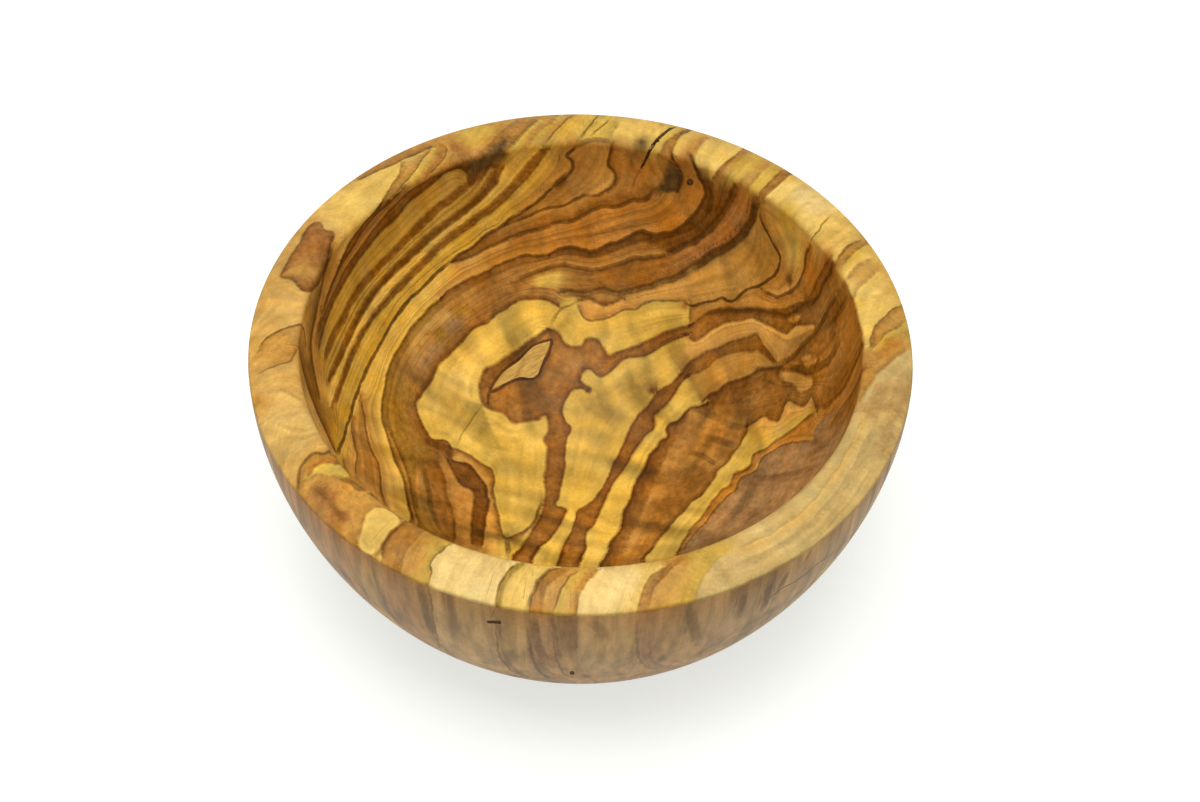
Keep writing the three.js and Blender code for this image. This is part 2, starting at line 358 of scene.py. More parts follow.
# Each streak: the tone on the walk's left hand, the tone on its right hand, how dark its line is, half the
# line's width in mm, how soft its edge is in mm, and the pixels that it is walked through.
FIGURE = {
    # The left wall. The walks go from the far side to the near left, with the heart on the left hand.
    "mottled zone, left edge": ("moss", "corn", 0.55, 0.4, 0.15, [
        (440, 298), (432, 305), (424, 313), (417, 321), (410, 330), (404, 339), (398, 348), (393, 357),
        (389, 367), (386, 378), (384, 390), (382, 402), (381, 412), (383, 424), (387, 436), (391, 450),
        (396, 464), (402, 476), (405, 488), (407, 502), (411, 517)]),
    "mottled zone, second line": ("moss", "amber", 0.5, 0.45, 0.3, [
        (389, 432), (395, 443), (400, 455), (405, 466), (408, 477), (411, 490), (413, 503), (416, 515),
        (419, 523)]),
    "bold line, by the island": ("tan", "amber", 0.8, 0.45, 0.2, [
        (577, 143), (572, 150), (567, 156), (571, 160), (573, 165), (572, 170), (567, 175), (560, 180),
        (553, 186), (549, 191), (543, 197), (537, 202), (530, 207), (520, 213)]),
    "bold line, dark swelling": ("umber", "amber", 0.8, 1.0, 0.4, [
        (570, 172), (564, 177), (558, 182), (552, 187)]),
    "bold line, upper wall": ("brown", "saffron", 0.8, 0.5, 0.15, [
        (520, 213), (510, 219), (500, 227), (490, 233), (480, 240), (470, 248), (460, 254), (450, 262)]),
    "bold line, left wall": ("corn", "saffron", 0.85, 0.55, 0.12, [
        (450, 262), (441, 270), (433, 277), (420, 290), (411, 298), (405, 305), (400, 311), (393, 322),
        (387, 331), (382, 341), (377, 350), (371, 360), (367, 369), (362, 380), (358, 391), (355, 400),
        (352, 410), (348, 424), (344, 438), (337, 454)]),
    "fine line beside the bold one": ("saffron", "saffron", 0.4, 0.24, 0.3, [
        (500, 222), (483, 232), (467, 243), (452, 254), (437, 265), (424, 275), (411, 287), (400, 299),
        (390, 312), (382, 325), (375, 338)]),
    "brown band one, on the lip": ("saffron", "honey", 0.6, 0.34, 0.15, [
        (575, 115), (568, 119), (560, 126), (555, 132), (550, 138), (545, 144)]),
    "brown band one, upper edge": ("cinnamon", "corn", 0.25, 0.3, 0.5, [
        (540, 150), (530, 160), (520, 172), (510, 184), (500, 194), (489, 204), (479, 212), (468, 220),
        (453, 230), (441, 240), (430, 250), (420, 260), (410, 270), (401, 280), (391, 290), (383, 300),
        (375, 310), (368, 320), (361, 330), (355, 341), (350, 352), (345, 364), (341, 376), (336, 390),
        (331, 404)]),
    "brown band one, lower edge": ("saffron", "cinnamon", 0.4, 0.4, 0.3, [
        (548, 151), (540, 162), (531, 173), (521, 185), (511, 195), (500, 205), (491, 213), (480, 220),
        (466, 230), (453, 240), (440, 250), (430, 260), (420, 270), (410, 280), (400, 290), (391, 300),
        (382, 310), (374, 320), (367, 330), (361, 341), (356, 352), (351, 364), (346, 376), (342, 388),
        (338, 400)]),
    "brown band two, upper edge": ("cinnamon", "olive", 0.25, 0.3, 0.5, [
        (492, 172), (484, 184), (475, 196), (466, 205), (459, 210), (445, 220), (432, 230), (420, 240),
        (410, 250), (399, 260), (390, 270), (380, 280), (371, 290), (364, 300), (358, 310), (353, 320),
        (348, 330), (343, 342), (338, 353), (333, 364), (328, 377)]),
    "brown band two, core": ("cinnamon", "cinnamon", 0.5, 0.7, 0.6, [
        (498, 171), (491, 184), (482, 195), (472, 204), (464, 210), (451, 220), (438, 230), (426, 240),
        (415, 250), (404, 260), (394, 270), (385, 280), (376, 290), (369, 300), (362, 310), (357, 320),
        (352, 330)]),
    "brown band two, lower edge": ("corn", "cinnamon", 0.35, 0.35, 0.3, [
        (503, 170), (497, 183), (488, 194), (479, 203), (471, 210), (458, 220), (444, 230), (432, 240),
        (421, 250), (410, 260), (399, 270), (389, 280), (380, 290), (372, 300), (366, 310), (360, 320),
        (355, 330), (349, 343), (343, 356), (337, 369), (330, 382)]),
    "brown band three, upper edge": ("cinnamon", "olive", 0.15, 0.3, 0.5, [
        (458, 188), (448, 196), (439, 203), (430, 210), (420, 220), (410, 230), (401, 240), (391, 250),
        (381, 260), (371, 270), (362, 280), (355, 290), (349, 300), (344, 310), (339, 320), (333, 330),
        (328, 342), (324, 354)]),
    "brown band three, lower edge": ("olive", "cinnamon", 0.3, 0.35, 0.4, [
        (468, 190), (459, 197), (450, 204), (441, 210), (431, 220), (420, 230), (410, 240), (400, 250),
        (390, 260), (380, 270), (371, 280), (363, 290), (356, 300), (350, 310), (346, 320), (340, 330),
        (334, 342), (328, 356)]),
    "tan tongue, outer edge": ("olive", "brown", 0.5, 0.4, 0.3, [
        (468, 178), (465, 171), (458, 168), (446, 173), (437, 180), (428, 187), (418, 195), (409, 202),
        (402, 211), (394, 220), (384, 228), (377, 236), (370, 245), (363, 254), (357, 262), (352, 270),
        (346, 280), (340, 290), (335, 300), (331, 309), (327, 319), (323, 332), (320, 346)]),
    "dark band, inner line": ("brown", "tan", 0.6, 0.42, 0.2, [
        (437, 175), (425, 182), (412, 190), (400, 200), (390, 210), (380, 222), (372, 232), (364, 243),
        (357, 253), (350, 262), (344, 272), (339, 282), (335, 290), (331, 299), (327, 308), (323, 318),
        (319, 330)]),
    "dark band, outer line": ("tan", "brown", 0.6, 0.42, 0.2, [
        (405, 187), (396, 196), (388, 204), (378, 213), (370, 222), (362, 232), (355, 243), (349, 253),
        (343, 263), (338, 272), (334, 282), (330, 292), (326, 302), (322, 312)]),
    "pale lip, right edge": ("honey", "straw", 0.4, 0.28, 0.15, [
        (400, 164), (401, 170), (396, 178), (388, 190), (380, 203)]),
    "pale lip, lower edge": ("brown", "straw", 0.4, 0.3, 0.15, [
        (380, 203), (374, 212), (366, 220), (360, 228), (354, 235), (349, 243), (345, 252), (340, 262)]),
    "dark band, outer edge": ("brown", "honey", 0.3, 0.3, 0.3, [
        (340, 262), (336, 272), (333, 280), (329, 290), (325, 303), (321, 316), (317, 330)]),
    "dark line under the brink": ("honey", "moss", 0.6, 0.6, 0.3, [
        (333, 243), (330, 254), (327, 265), (324, 275), (322, 284), (320, 294), (318, 304), (316, 315),
        (313, 328), (311, 342), (312, 357), (314, 372), (317, 386), (320, 398)]),
    "left brink, dark below": ("umber", "wheat", 0.4, 0.5, 0.3, [
        (299, 350), (302, 367), (307, 386), (313, 403), (320, 420), (327, 435), (334, 450)]),
    "thin line across the lip": ("gold", "honey", 0.55, 0.26, 0.15, [
        (431, 148), (428, 152), (420, 162), (414, 171), (407, 180), (400, 188), (392, 197)]),
    "second thin line across the lip": ("honey", "amber", 0.5, 0.26, 0.15, [
        (443, 144), (447, 149), (446, 155), (441, 161), (435, 168), (428, 175)]),
    "pale lip, upper edge": ("straw", "tan", 0.5, 0.3, 0.2, [
        (431, 148), (423, 151), (412, 156), (400, 161), (390, 166), (380, 170), (370, 175), (362, 179)]),
    "line towards the near left": ("tan", "honey", 0.6, 0.32, 0.2, [
        (352, 418), (352, 430), (353, 440), (355, 448), (357, 456), (356, 466), (355, 475)]),
    "second line towards the near left": ("honey", "tan", 0.65, 0.45, 0.2, [
        (361, 396), (363, 410), (366, 428), (367, 437), (370, 447), (374, 455), (378, 463), (380, 475),
        (381, 487), (383, 497), (386, 504)]),
    # The left lip.
    "left lip patch": ("wheat", "russet", 0.3, 0.3, 0.2, [
        (305, 231), (313, 223), (321, 223), (325, 229), (333, 232), (332, 243), (329, 255), (326, 266),
        (322, 277), (318, 285), (311, 291), (304, 291), (298, 286), (291, 280), (281, 277), (285, 266),
        (291, 255), (298, 244), (305, 231)]),
    "left lip patch, pale stripe": ("honey", "honey", 0.0, 0.2, 0.4, [
        (284, 274), (293, 271), (303, 271), (311, 274)]),
    "left lip streak": ("wheat", "honey", 0.65, 0.36, 0.2, [
        (259, 349), (265, 340), (275, 333), (285, 328), (293, 326), (300, 325), (304, 329), (305, 338),
        (306, 348)]),
    "left lip second streak": ("honey", "wheat", 0.5, 0.3, 0.2, [
        (262, 373), (270, 368), (280, 364), (289, 361), (295, 355), (298, 348)]),
    "left lip soft streak": ("wheat", "biscuit", 0.22, 0.5, 0.4, [
        (272, 392), (282, 391), (292, 395), (301, 401)]),
    "left lip second soft streak": ("biscuit", "biscuit", 0.18, 0.6, 0.4, [
        (280, 424), (292, 429), (305, 431), (315, 428)]),
    "near left arch": ("honey", "wheat", 0.6, 0.45, 0.2, [
        (334, 455), (327, 453), (318, 452), (310, 455), (304, 462), (300, 471), (298, 480), (298, 492),
        (301, 502), (307, 511), (315, 519), (325, 528), (335, 537), (348, 548)]),
    "near left crescent": ("amber", "gold", 0.2, 0.25, 0.25, [
        (310, 475), (314, 468), (321, 464), (330, 463), (338, 464), (344, 468), (349, 475)]),
    "near left crescent, lower edge": ("gold", "honey", 0.15, 0.25, 0.3, [
        (309, 477), (317, 474), (326, 476), (336, 476), (345, 479)]),
    "near left dark streak on the lip": ("honey", "honey", 0.6, 0.9, 0.4, [
        (338, 477), (346, 480), (354, 484), (362, 489), (371, 495), (380, 501)]),
    "near left brown freckle": ("russet", "russet", 0.45, 0.6, 0.5, [(318, 490), (324, 495), (330, 500)]),
    "near left second freckle": ("russet", "russet", 0.5, 0.9, 0.5, [(334, 511), (340, 515), (345, 518)]),
    "near left pale patch": ("honey", "straw", 0.12, 0.25, 0.25, [
        (366, 515), (372, 510), (380, 508), (388, 510), (396, 515), (400, 520), (394, 528), (388, 535),
        (382, 543), (378, 551), (370, 552), (362, 548), (358, 540), (362, 530), (366, 515)]),
    "near brown stripe, left edge": ("tan", "straw", 0.35, 0.4, 0.3, [
        (404, 521), (395, 529), (387, 537), (382, 546), (381, 555), (384, 566)]),
    "near brown stripe, right edge": ("honey", "tan", 0.2, 0.3, 0.3, [
        (424, 532), (416, 538), (409, 547), (405, 556), (402, 565), (401, 573)]),
    "near thin line": ("cream", "gold", 0.6, 0.26, 0.12, [
        (452, 544), (446, 547), (442, 551), (436, 555), (432, 560), (430, 565), (432, 571), (430, 577),
        (429, 583)]),
    # The near lip, from left to right.
    "near band one": ("gold", "cream", 0.6, 0.3, 0.15, [
        (520, 563), (512, 566), (508, 571), (503, 578), (499, 584), (497, 592), (497, 604)]),
    "near band one, far edge": ("straw", "gold", 0.15, 0.3, 0.25, [
        (524, 564), (516, 570), (509, 578), (504, 587), (502, 597), (502, 606)]),
    "near band two": ("amber", "straw", 0.6, 0.45, 0.15, [
        (556, 568), (548, 570), (543, 576), (538, 582), (535, 588), (532, 596), (529, 609)]),
    "near band two, far edge": ("honey", "amber", 0.2, 0.3, 0.3, [
        (566, 572), (556, 577), (549, 584), (544, 593), (541, 608)]),
    "near band three": ("gold", "honey", 0.55, 0.3, 0.15, [
        (577, 572), (570, 576), (566, 581), (562, 588), (559, 594), (556, 602), (553, 611)]),
    # The bright patch is partly pale wood, partly a painted highlight where the near lip shines.
    "near bright patch, left edge": ("cream", "honey", 0.2, 0.24, 0.2, [
        (598, 572), (595, 575), (588, 580), (584, 586), (580, 593), (578, 600), (577, 611)]),
    "near band four": ("honey", "straw", 0.4, 0.3, 0.2, [
        (661, 569), (652, 576), (646, 585), (641, 596), (636, 609)]),
    "near band five": ("honey", "amber", 0.35, 0.3, 0.25, [
        (680, 563), (670, 569), (661, 578), (654, 590), (650, 604)]),
    "near band six": ("sand", "gold", 0.15, 0.3, 0.25, [
        (728, 552), (717, 560), (708, 570), (702, 580), (698, 590), (694, 599)]),
    # The right lip. Sandy fibres run along it.
    "sand lip, inner side": ("sand", "biscuit", 0.16, 0.3, 0.5, [
        (745, 546), (770, 534), (795, 518), (818, 495), (838, 468), (853, 440), (863, 415)]),
    "sand lip, middle": ("sand", "sand", 0.16, 0.8, 0.7, [
        (738, 566), (765, 555), (790, 540), (815, 520), (838, 494), (857, 464), (873, 430)]),
    "sand lip, outer side": ("sand", "sand", 0.16, 0.3, 0.5, [
        (735, 586), (765, 573), (795, 555), (825, 531), (850, 503), (872, 468)]),
    # Painted shade: the sand lip is darker on its outer side, where it turns away from the light.
    "sand lip, shaded side": ("dune", "dune", 0.0, 0.2, 0.4, [(883, 448), (890, 425), (902, 385)]),
    "right lip, gold to sand": ("sand", "honey", 0.1, 0.3, 0.4, [
        (907, 350), (896, 358), (886, 366), (876, 376), (868, 388), (862, 400)]),
    "right lip line one": ("straw", "straw", 0.6, 0.3, 0.15, [
        (840, 211), (831, 216), (823, 223), (815, 234), (810, 244)]),
    "right wall line one": ("rust", "honey", 0.75, 0.5, 0.2, [
        (810, 244), (806, 254), (804, 268), (799, 283), (792, 290), (784, 295), (777, 298), (770, 294),
        (762, 288)]),
    "right lip line two": ("honey", "straw", 0.65, 0.38, 0.15, [
        (866, 238), (857, 241), (849, 245), (842, 252), (836, 261)]),
    "right wall line two": ("brown", "brown", 0.75, 0.62, 0.3, [
        (836, 261), (831, 270), (825, 281), (820, 292), (815, 301), (808, 307)]),
    "right wall thin line": ("brown", "rust", 0.5, 0.35, 0.25, [
        (829, 258), (823, 269), (817, 280), (811, 293)]),
    "right lip line three": ("gold", "honey", 0.35, 0.26, 0.2, [
        (868, 243), (858, 249), (850, 256), (844, 265)]),
    "right lip patch, upper edge": ("wheat", "straw", 0.1, 0.2, 0.3, [
        (880, 254), (868, 259), (857, 265), (848, 275)]),
    "right lip patch, lower edge": ("straw", "wheat", 0.15, 0.2, 0.25, [
        (886, 266), (876, 273), (867, 281), (860, 288), (855, 297)]),
    "right lip eye line": ("honey", "straw", 0.5, 0.26, 0.15, [
        (900, 305), (893, 309), (887, 315), (881, 320), (875, 326), (871, 335), (869, 344)]),
    "right lip, second line past the eye": ("gold", "honey", 0.3, 0.3, 0.2, [
        (904, 322), (897, 328), (889, 331), (881, 337), (875, 346)]),
    "right brink": ("straw", "amber", 0.1, 0.4, 0.4, [
        (846, 281), (853, 299), (858, 316), (862, 333), (864, 345)]),
    # The far lip.
    "far right lip edge": ("tan", "straw", 0.45, 0.3, 0.2, [
        (742, 150), (737, 154), (730, 159), (724, 164), (719, 170), (714, 176)]),
    "far right lip gold": ("gold", "gold", 0.15, 0.6, 0.4, [
        (754, 157), (745, 164), (737, 173), (731, 181)]),
    "far right lip tan, right edge": ("gold", "honey", 0.2, 0.3, 0.3, [
        (772, 165), (763, 171), (755, 180), (749, 189)]),
    "far right stripe, left line": ("tan", "gold", 0.4, 0.26, 0.2, [
        (781, 170), (773, 178), (766, 185), (760, 191)]),
    "far right stripe, right line": ("straw", "tan", 0.4, 0.26, 0.2, [
        (792, 174), (784, 180), (776, 187), (769, 194)]),
    "far lip brown edge": ("straw", "tan", 0.3, 0.3, 0.2, [
        (692, 131), (684, 134), (678, 139), (674, 145), (672, 151), (674, 158)]),
    "far wall brown edge": ("rust", "umber", 0.3, 0.35, 0.2, [
        (674, 158), (678, 165), (681, 171), (683, 178), (682, 186), (679, 192)]),
    "far lip brown zone, left edge": ("tan", "gold", 0.25, 0.3, 0.3, [
        (684, 130), (676, 134), (669, 139), (663, 145), (660, 151)]),
    "far lip curved edge": ("straw", "honey", 0.15, 0.3, 0.3, [
        (708, 139), (701, 145), (696, 151), (695, 158), (697, 165)]),
    "far lip line one": ("gold", "gold", 0.65, 0.34, 0.15, [
        (600, 115), (594, 120), (588, 127), (584, 133), (580, 140)]),
    "far lip line two": ("gold", "gold", 0.65, 0.34, 0.15, [
        (615, 116), (610, 119), (602, 126), (596, 131), (591, 136)]),
    "far lip soft streak": ("straw", "gold", 0.25, 0.4, 0.3, [
        (626, 117), (619, 123), (614, 130), (612, 137)]),
    "far left lip streak": ("gold", "tan", 0.4, 0.5, 0.3, [
        (545, 115), (538, 121), (530, 127), (522, 134), (515, 142), (509, 149)]),
    "far left lip second streak": ("tan", "honey", 0.2, 0.4, 0.4, [
        (515, 121), (503, 130), (490, 143), (478, 154)]),
    "far left gold streak": ("gold", "honey", 0.1, 0.3, 0.3, [
        (562, 115), (553, 121), (543, 129), (534, 138), (527, 148)]),
    # The far wall.
    "island, top": ("gold", "honey", 0.5, 0.7, 0.4, [
        (577, 147), (583, 143), (590, 140), (597, 139), (605, 140), (612, 141)]),
    "island": ("rust", "honey", 0.7, 0.45, 0.2, [
        (612, 141), (611, 148), (609, 156), (608, 164), (611, 169), (615, 172), (616, 177), (614, 183),
        (610, 188), (604, 192), (598, 195), (590, 196)]),
    "island, tail": ("tan", "tan", 0.65, 0.45, 0.2, [
        (590, 196), (585, 195), (580, 198), (573, 201), (565, 205), (558, 207), (550, 208), (543, 210),
        (535, 213), (528, 216), (520, 219), (512, 222), (505, 225), (497, 230)]),
    "island, dark corner": ("rust", "amber", 0.6, 0.9, 0.4, [(616, 178), (614, 184), (609, 189)]),
    "faint line below the check": ("rust", "rust", 0.35, 0.3, 0.3, [
        (641, 168), (637, 175), (634, 183), (631, 191)]),
    "orange band, upper edge": ("rust", "brown", 0.65, 0.65, 0.3, [
        (656, 189), (650, 196), (643, 200), (633, 200), (625, 204), (618, 206), (610, 207), (602, 206),
        (595, 209), (588, 213), (580, 217), (570, 221), (560, 222), (552, 224), (545, 227), (535, 230),
        (525, 232), (517, 236), (510, 239)]),
    "orange band, upper edge, left part": ("honey", "brown", 0.55, 0.45, 0.3, [
        (510, 239), (500, 243), (488, 248), (475, 255), (463, 260), (455, 263)]),
    "orange band, thin line": ("rust", "rust", 0.3, 0.26, 0.3, [
        (656, 222), (640, 226), (625, 228), (612, 231), (600, 234), (585, 238)]),
    "orange band, lower edge": ("umber", "rust", 0.8, 0.5, 0.15, [
        (690, 158), (694, 164), (697, 172), (699, 178), (703, 183), (705, 190), (705, 196), (702, 203),
        (699, 209), (694, 215), (690, 219), (685, 224), (680, 228), (672, 232), (665, 233), (657, 235),
        (650, 234), (642, 231), (635, 233), (627, 238), (618, 242), (610, 244), (600, 249), (591, 252),
        (585, 250), (575, 248), (567, 247), (558, 249), (550, 253)]),
    "orange band, lower edge, left part": ("brown", "amber", 0.7, 0.45, 0.2, [
        (550, 253), (543, 255), (535, 256), (527, 255), (520, 257), (510, 260), (500, 264), (488, 270)]),
    "mottled zone, upper edge": ("brown", "honey", 0.6, 0.42, 0.2, [
        (488, 270), (475, 276), (465, 281), (455, 287), (447, 292), (440, 298)]),
    "dark spot on the far wall": ("tan", "smoke", 0.15, 0.3, 0.8, [
        (669, 161), (674, 165), (679, 172), (681, 180), (680, 189), (672, 192), (662, 193), (656, 196),
        (658, 188), (664, 178), (667, 169), (669, 161)]),
    "far wall line one": ("umber", "umber", 0.55, 0.45, 0.25, [
        (709, 184), (711, 191), (712, 200), (711, 208), (708, 214), (703, 220), (697, 224), (690, 229),
        (683, 233), (673, 236), (662, 239), (650, 242)]),
    "far wall line two": ("russet", "umber", 0.72, 0.95, 0.2, [
        (735, 187), (732, 195), (728, 203), (724, 210), (720, 217), (715, 223), (710, 228), (703, 235),
        (695, 241), (685, 245), (675, 250), (667, 255)]),
    "far wall line two, left part": ("brown", "tan", 0.6, 0.65, 0.2, [
        (667, 255), (655, 257), (645, 258), (635, 258), (625, 262), (615, 265), (600, 269), (590, 270),
        (580, 268), (570, 266), (560, 265), (550, 267), (540, 270), (527, 275), (513, 281)]),
    "far wall dark band": ("caramel", "russet", 0.88, 1.3, 0.2, [
        (757, 200), (755, 207), (753, 215), (750, 223), (745, 231), (739, 238), (732, 244), (724, 249),
        (715, 253), (707, 258), (700, 263), (690, 268)]),
    "far wall dark band, left part": ("caramel", "brown", 0.68, 0.95, 0.2, [
        (690, 268), (680, 275), (670, 279), (660, 282), (650, 286), (640, 288), (630, 291), (620, 294),
        (612, 292), (605, 290), (598, 290), (590, 293), (580, 293), (570, 292), (563, 293)]),
    "soft dark above the heart": ("tan", "tan", 0.4, 0.9, 0.5, [
        (552, 292), (543, 291), (534, 290), (525, 293)]),
    "loop line": ("tan", "caramel", 0.85, 0.42, 0.15, [
        (760, 212), (761, 220), (765, 228), (771, 239), (777, 250), (780, 260), (778, 269), (771, 277),
        (760, 285), (749, 288), (742, 293), (733, 301), (722, 298), (714, 301), (701, 304), (691, 305),
        (683, 301)]),
    "heart, top line": ("gold", "honey", 0.55, 0.34, 0.15, [
        (683, 301), (669, 301), (658, 301), (650, 302), (642, 305), (635, 309), (625, 310), (615, 314),
        (605, 318), (595, 320), (588, 321), (583, 317), (579, 310), (577, 305)]),
    "heart, brown shore": ("honey", "brown", 0.35, 0.4, 0.25, [
        (622, 300), (611, 304), (601, 305), (593, 301), (585, 300), (577, 303)]),
    "heart, shore to the stain": ("gold", "gold", 0.5, 0.45, 0.25, [
        (577, 303), (568, 306), (562, 309), (557, 314), (553, 320), (550, 327)]),
    "heart, link": ("amber", "gold", 0.55, 0.3, 0.15, [(689, 305), (690, 313), (689, 323)]),
    # The heart on the floor.
    "heart, left outline": ("gold", "brown", 0.35, 0.3, 0.15, [
        (556, 306), (548, 301), (540, 300), (530, 300), (520, 300), (512, 305), (500, 313), (488, 322),
        (474, 329), (462, 342), (450, 354), (439, 364), (434, 376), (427, 388), (418, 399), (417, 409),
        (421, 420), (427, 432), (433, 439), (446, 440), (452, 447)]),
    "heart, lower left line": ("gold", "tan", 0.6, 0.38, 0.15, [
        (452, 447), (461, 451), (470, 456), (477, 461), (485, 466), (492, 470), (494, 480), (493, 490),
        (495, 500), (497, 510), (499, 520), (501, 531), (507, 538), (515, 535), (525, 530), (533, 522),
        (538, 512), (541, 501)]),
    "seam of the knot": ("brown", "brown", 0.95, 0.42, 0.3, [
        (489.5, 391.5), (501.5, 373), (519.5, 359), (532.5, 345.8), (547.5, 340.5), (552, 342.5),
        (543.5, 364), (538, 376), (530.5, 379.5), (520, 378.5), (507.5, 383.5), (489.5, 391.5)]),
    "heart, thin line": ("gold", "gold", 0.4, 0.28, 0.3, [
        (482, 406), (472, 419), (464, 430), (460, 438), (456, 447)]),
    "dark band, upper edge": ("gold", "brown", 0.4, 0.4, 0.25, [
        (548, 328), (557, 331), (566, 344), (580, 346), (586, 339), (597, 338), (603, 347), (608, 356),
        (617, 352), (640, 344), (656, 337), (669, 331), (690, 324)]),
    "dark band, upper edge, right part": ("amber", "brown", 0.4, 0.4, 0.25, [
        (690, 324), (700, 318), (707, 313), (715, 309), (730, 308), (750, 308), (765, 309), (780, 310),
        (790, 306), (800, 302)]),
    "dark band, dark core": ("umber", "brown", 0.55, 0.9, 0.4, [
        (712, 315), (728, 312), (745, 311), (760, 312), (775, 315), (788, 316), (800, 309), (812, 302)]),
    "dark band, lower edge, right part": ("honey", "brown", 0.4, 0.36, 0.2, [
        (813, 325), (800, 325), (793, 328), (787, 333), (780, 331), (773, 327), (765, 324), (758, 320),
        (752, 318), (740, 320), (730, 322), (720, 325), (713, 329), (707, 334), (700, 339), (693, 340),
        (686, 336)]),
    "dark band, lower edge": ("gold", "brown", 0.4, 0.36, 0.15, [
        (686, 336), (672, 341), (657, 350), (645, 357), (630, 358), (622, 361), (612, 371), (600, 378),
        (590, 370), (583, 372), (580, 380), (584, 384), (590, 388), (588, 392), (580, 389), (570, 393),
        (563, 411), (566, 422), (571, 428), (567, 440), (565, 452), (565, 465), (562, 482), (559, 497),
        (557, 505), (566, 509), (563, 518), (557, 530), (550, 539), (541, 547), (533, 559)]),
    "stain, left side": ("brown", "gold", 0.25, 0.4, 0.4, [
        (548, 328), (535, 336), (523, 345), (508, 355), (496, 363), (485, 370), (479, 384), (481, 399),
        (486, 407), (504, 415), (513, 423), (535, 420), (546, 416), (548, 430), (543, 440), (547, 449),
        (546, 465), (544, 482), (545, 497), (543, 508), (538, 520), (530, 533), (520, 548), (513, 556)]),
    "stain, dark rim": ("brown", "brown", 0.5, 0.8, 0.4, [
        (548, 331), (538, 338), (526, 346), (512, 356), (500, 365), (491, 376), (487, 390)]),
    "stem": ("gold", "gold", 0.6, 0.7, 0.2, [(508, 538), (508, 546), (509, 556)]),
    "pale strip, left edge": ("honey", "umber", 0.3, 0.3, 0.2, [
        (455, 460), (463, 462), (471, 465), (478, 474), (485, 483), (488, 495), (490, 503), (487, 515),
        (485, 530), (483, 545)]),
    "dark block, left edge": ("umber", "tan", 0.25, 0.4, 0.3, [
        (447, 462), (455, 477), (462, 486), (472, 491), (473, 505), (471, 520), (471, 542)]),
    "tan block, left edge": ("tan", "brown", 0.2, 0.3, 0.3, [
        (440, 465), (445, 480), (447, 495), (452, 510), (455, 521), (455, 537)]),
    "near left dark streak": ("brown", "moss", 0.5, 0.9, 0.5, [
        (424, 470), (428, 486), (430, 501), (434, 516), (441, 531)]),
    "light strip in the mottled zone": ("tan", "moss", 0.1, 0.3, 0.4, [
        (416, 468), (415, 485), (417, 500), (421, 517)]),
    "dark notch by the heart": ("umber", "umber", 0.35, 0.9, 0.4, [
        (428, 442), (437, 446), (446, 448), (450, 456)]),
    # The lower floor. The walks come down, with the right hand towards the heart.
    "brown streak A, left edge": ("brown", "gold", 0.35, 0.4, 0.15, [
        (680, 373), (671, 384), (658, 391), (650, 403), (638, 415), (629, 430), (621, 449), (613, 465),
        (604, 484), (592, 501), (578, 510), (575, 520), (571, 531), (566, 541), (561, 552), (557, 562)]),
    "brown streak A, right edge": ("gold", "brown", 0.35, 0.4, 0.15, [
        (688, 377), (680, 385), (675, 393), (669, 402), (660, 411), (654, 416), (654, 428), (645, 437),
        (633, 453), (627, 465), (617, 478), (608, 493), (601, 509), (595, 523), (588, 531), (586, 541),
        (586, 551), (580, 562)]),
    "broad brown, left edge": ("umber", "gold", 0.45, 0.5, 0.15, [
        (705, 403), (697, 406), (690, 407), (684, 412), (678, 420), (669, 424), (666, 430), (667, 436),
        (660, 440), (656, 447), (650, 454), (646, 462), (642, 471), (635, 484), (630, 499), (623, 514),
        (620, 528), (611, 541), (608, 551), (600, 563)]),
    "broad brown, soft inner side": ("tan", "brown", 0.0, 0.3, 0.9, [
        (672, 446), (664, 462), (656, 480), (648, 498), (640, 516), (632, 534), (624, 552)]),
    "broad brown, right edge": ("gold", "brown", 0.35, 0.35, 0.2, [
        (748, 427), (747, 433), (743, 440), (740, 446), (732, 455), (729, 461), (724, 466), (718, 471),
        (715, 478), (710, 485), (705, 491), (700, 497), (693, 501), (688, 507), (683, 513), (677, 518),
        (672, 525), (667, 531), (662, 536), (657, 542), (653, 550), (645, 558)]),
    "double edge, inner line": ("rust", "gold", 0.5, 0.42, 0.2, [
        (815, 411), (805, 419), (795, 428), (785, 435), (775, 441), (768, 447), (760, 451), (753, 455),
        (751, 462), (748, 468), (742, 470), (735, 472), (733, 478), (730, 485), (722, 489), (716, 497),
        (710, 504), (705, 512), (700, 519), (695, 524), (690, 530), (686, 537), (682, 543), (678, 550),
        (675, 556)]),
    "double edge, outer line": ("ash", "amber", 0.55, 0.34, 0.2, [
        (812, 440), (800, 442), (790, 443), (783, 445), (775, 450), (769, 453), (763, 457), (760, 463),
        (758, 470), (750, 474), (743, 477), (738, 483), (735, 490), (728, 495), (722, 502), (715, 508),
        (710, 516), (705, 523), (698, 530), (692, 537), (687, 544), (684, 551)]),
    "double edge, dark turn": ("rust", "gold", 0.6, 0.7, 0.3, [(751, 464), (744, 470), (735, 473)]),
    "curl one": ("tan", "tan", 0.5, 1.0, 0.5, [(690, 408), (703, 411), (712, 416), (722, 419)]),
    "curl two": ("tan", "tan", 0.55, 1.0, 0.5, [(724, 422), (732, 425), (740, 427), (746, 430)]),
    "curl three": ("tan", "tan", 0.5, 1.0, 0.5, [(704, 437), (715, 439), (725, 442), (738, 446)]),
    "curl four": ("tan", "tan", 0.45, 0.8, 0.5, [(688, 452), (700, 455), (710, 460), (720, 466)]),
    "curl five": ("brown", "brown", 0.5, 1.0, 0.5, [(654, 391), (662, 391), (671, 392)]),
    "curl on the grey patch": ("ash", "ash", 0.35, 1.0, 0.6, [
        (758, 478), (775, 477), (790, 474), (805, 470), (820, 465)]),
    "second curl on the grey patch": ("ash", "ash", 0.22, 0.9, 0.6, [
        (720, 508), (740, 513), (752, 515), (764, 514)]),
    "third curl on the grey patch": ("ash", "ash", 0.3, 1.0, 0.6, [(806, 456), (818, 450), (830, 446)]),
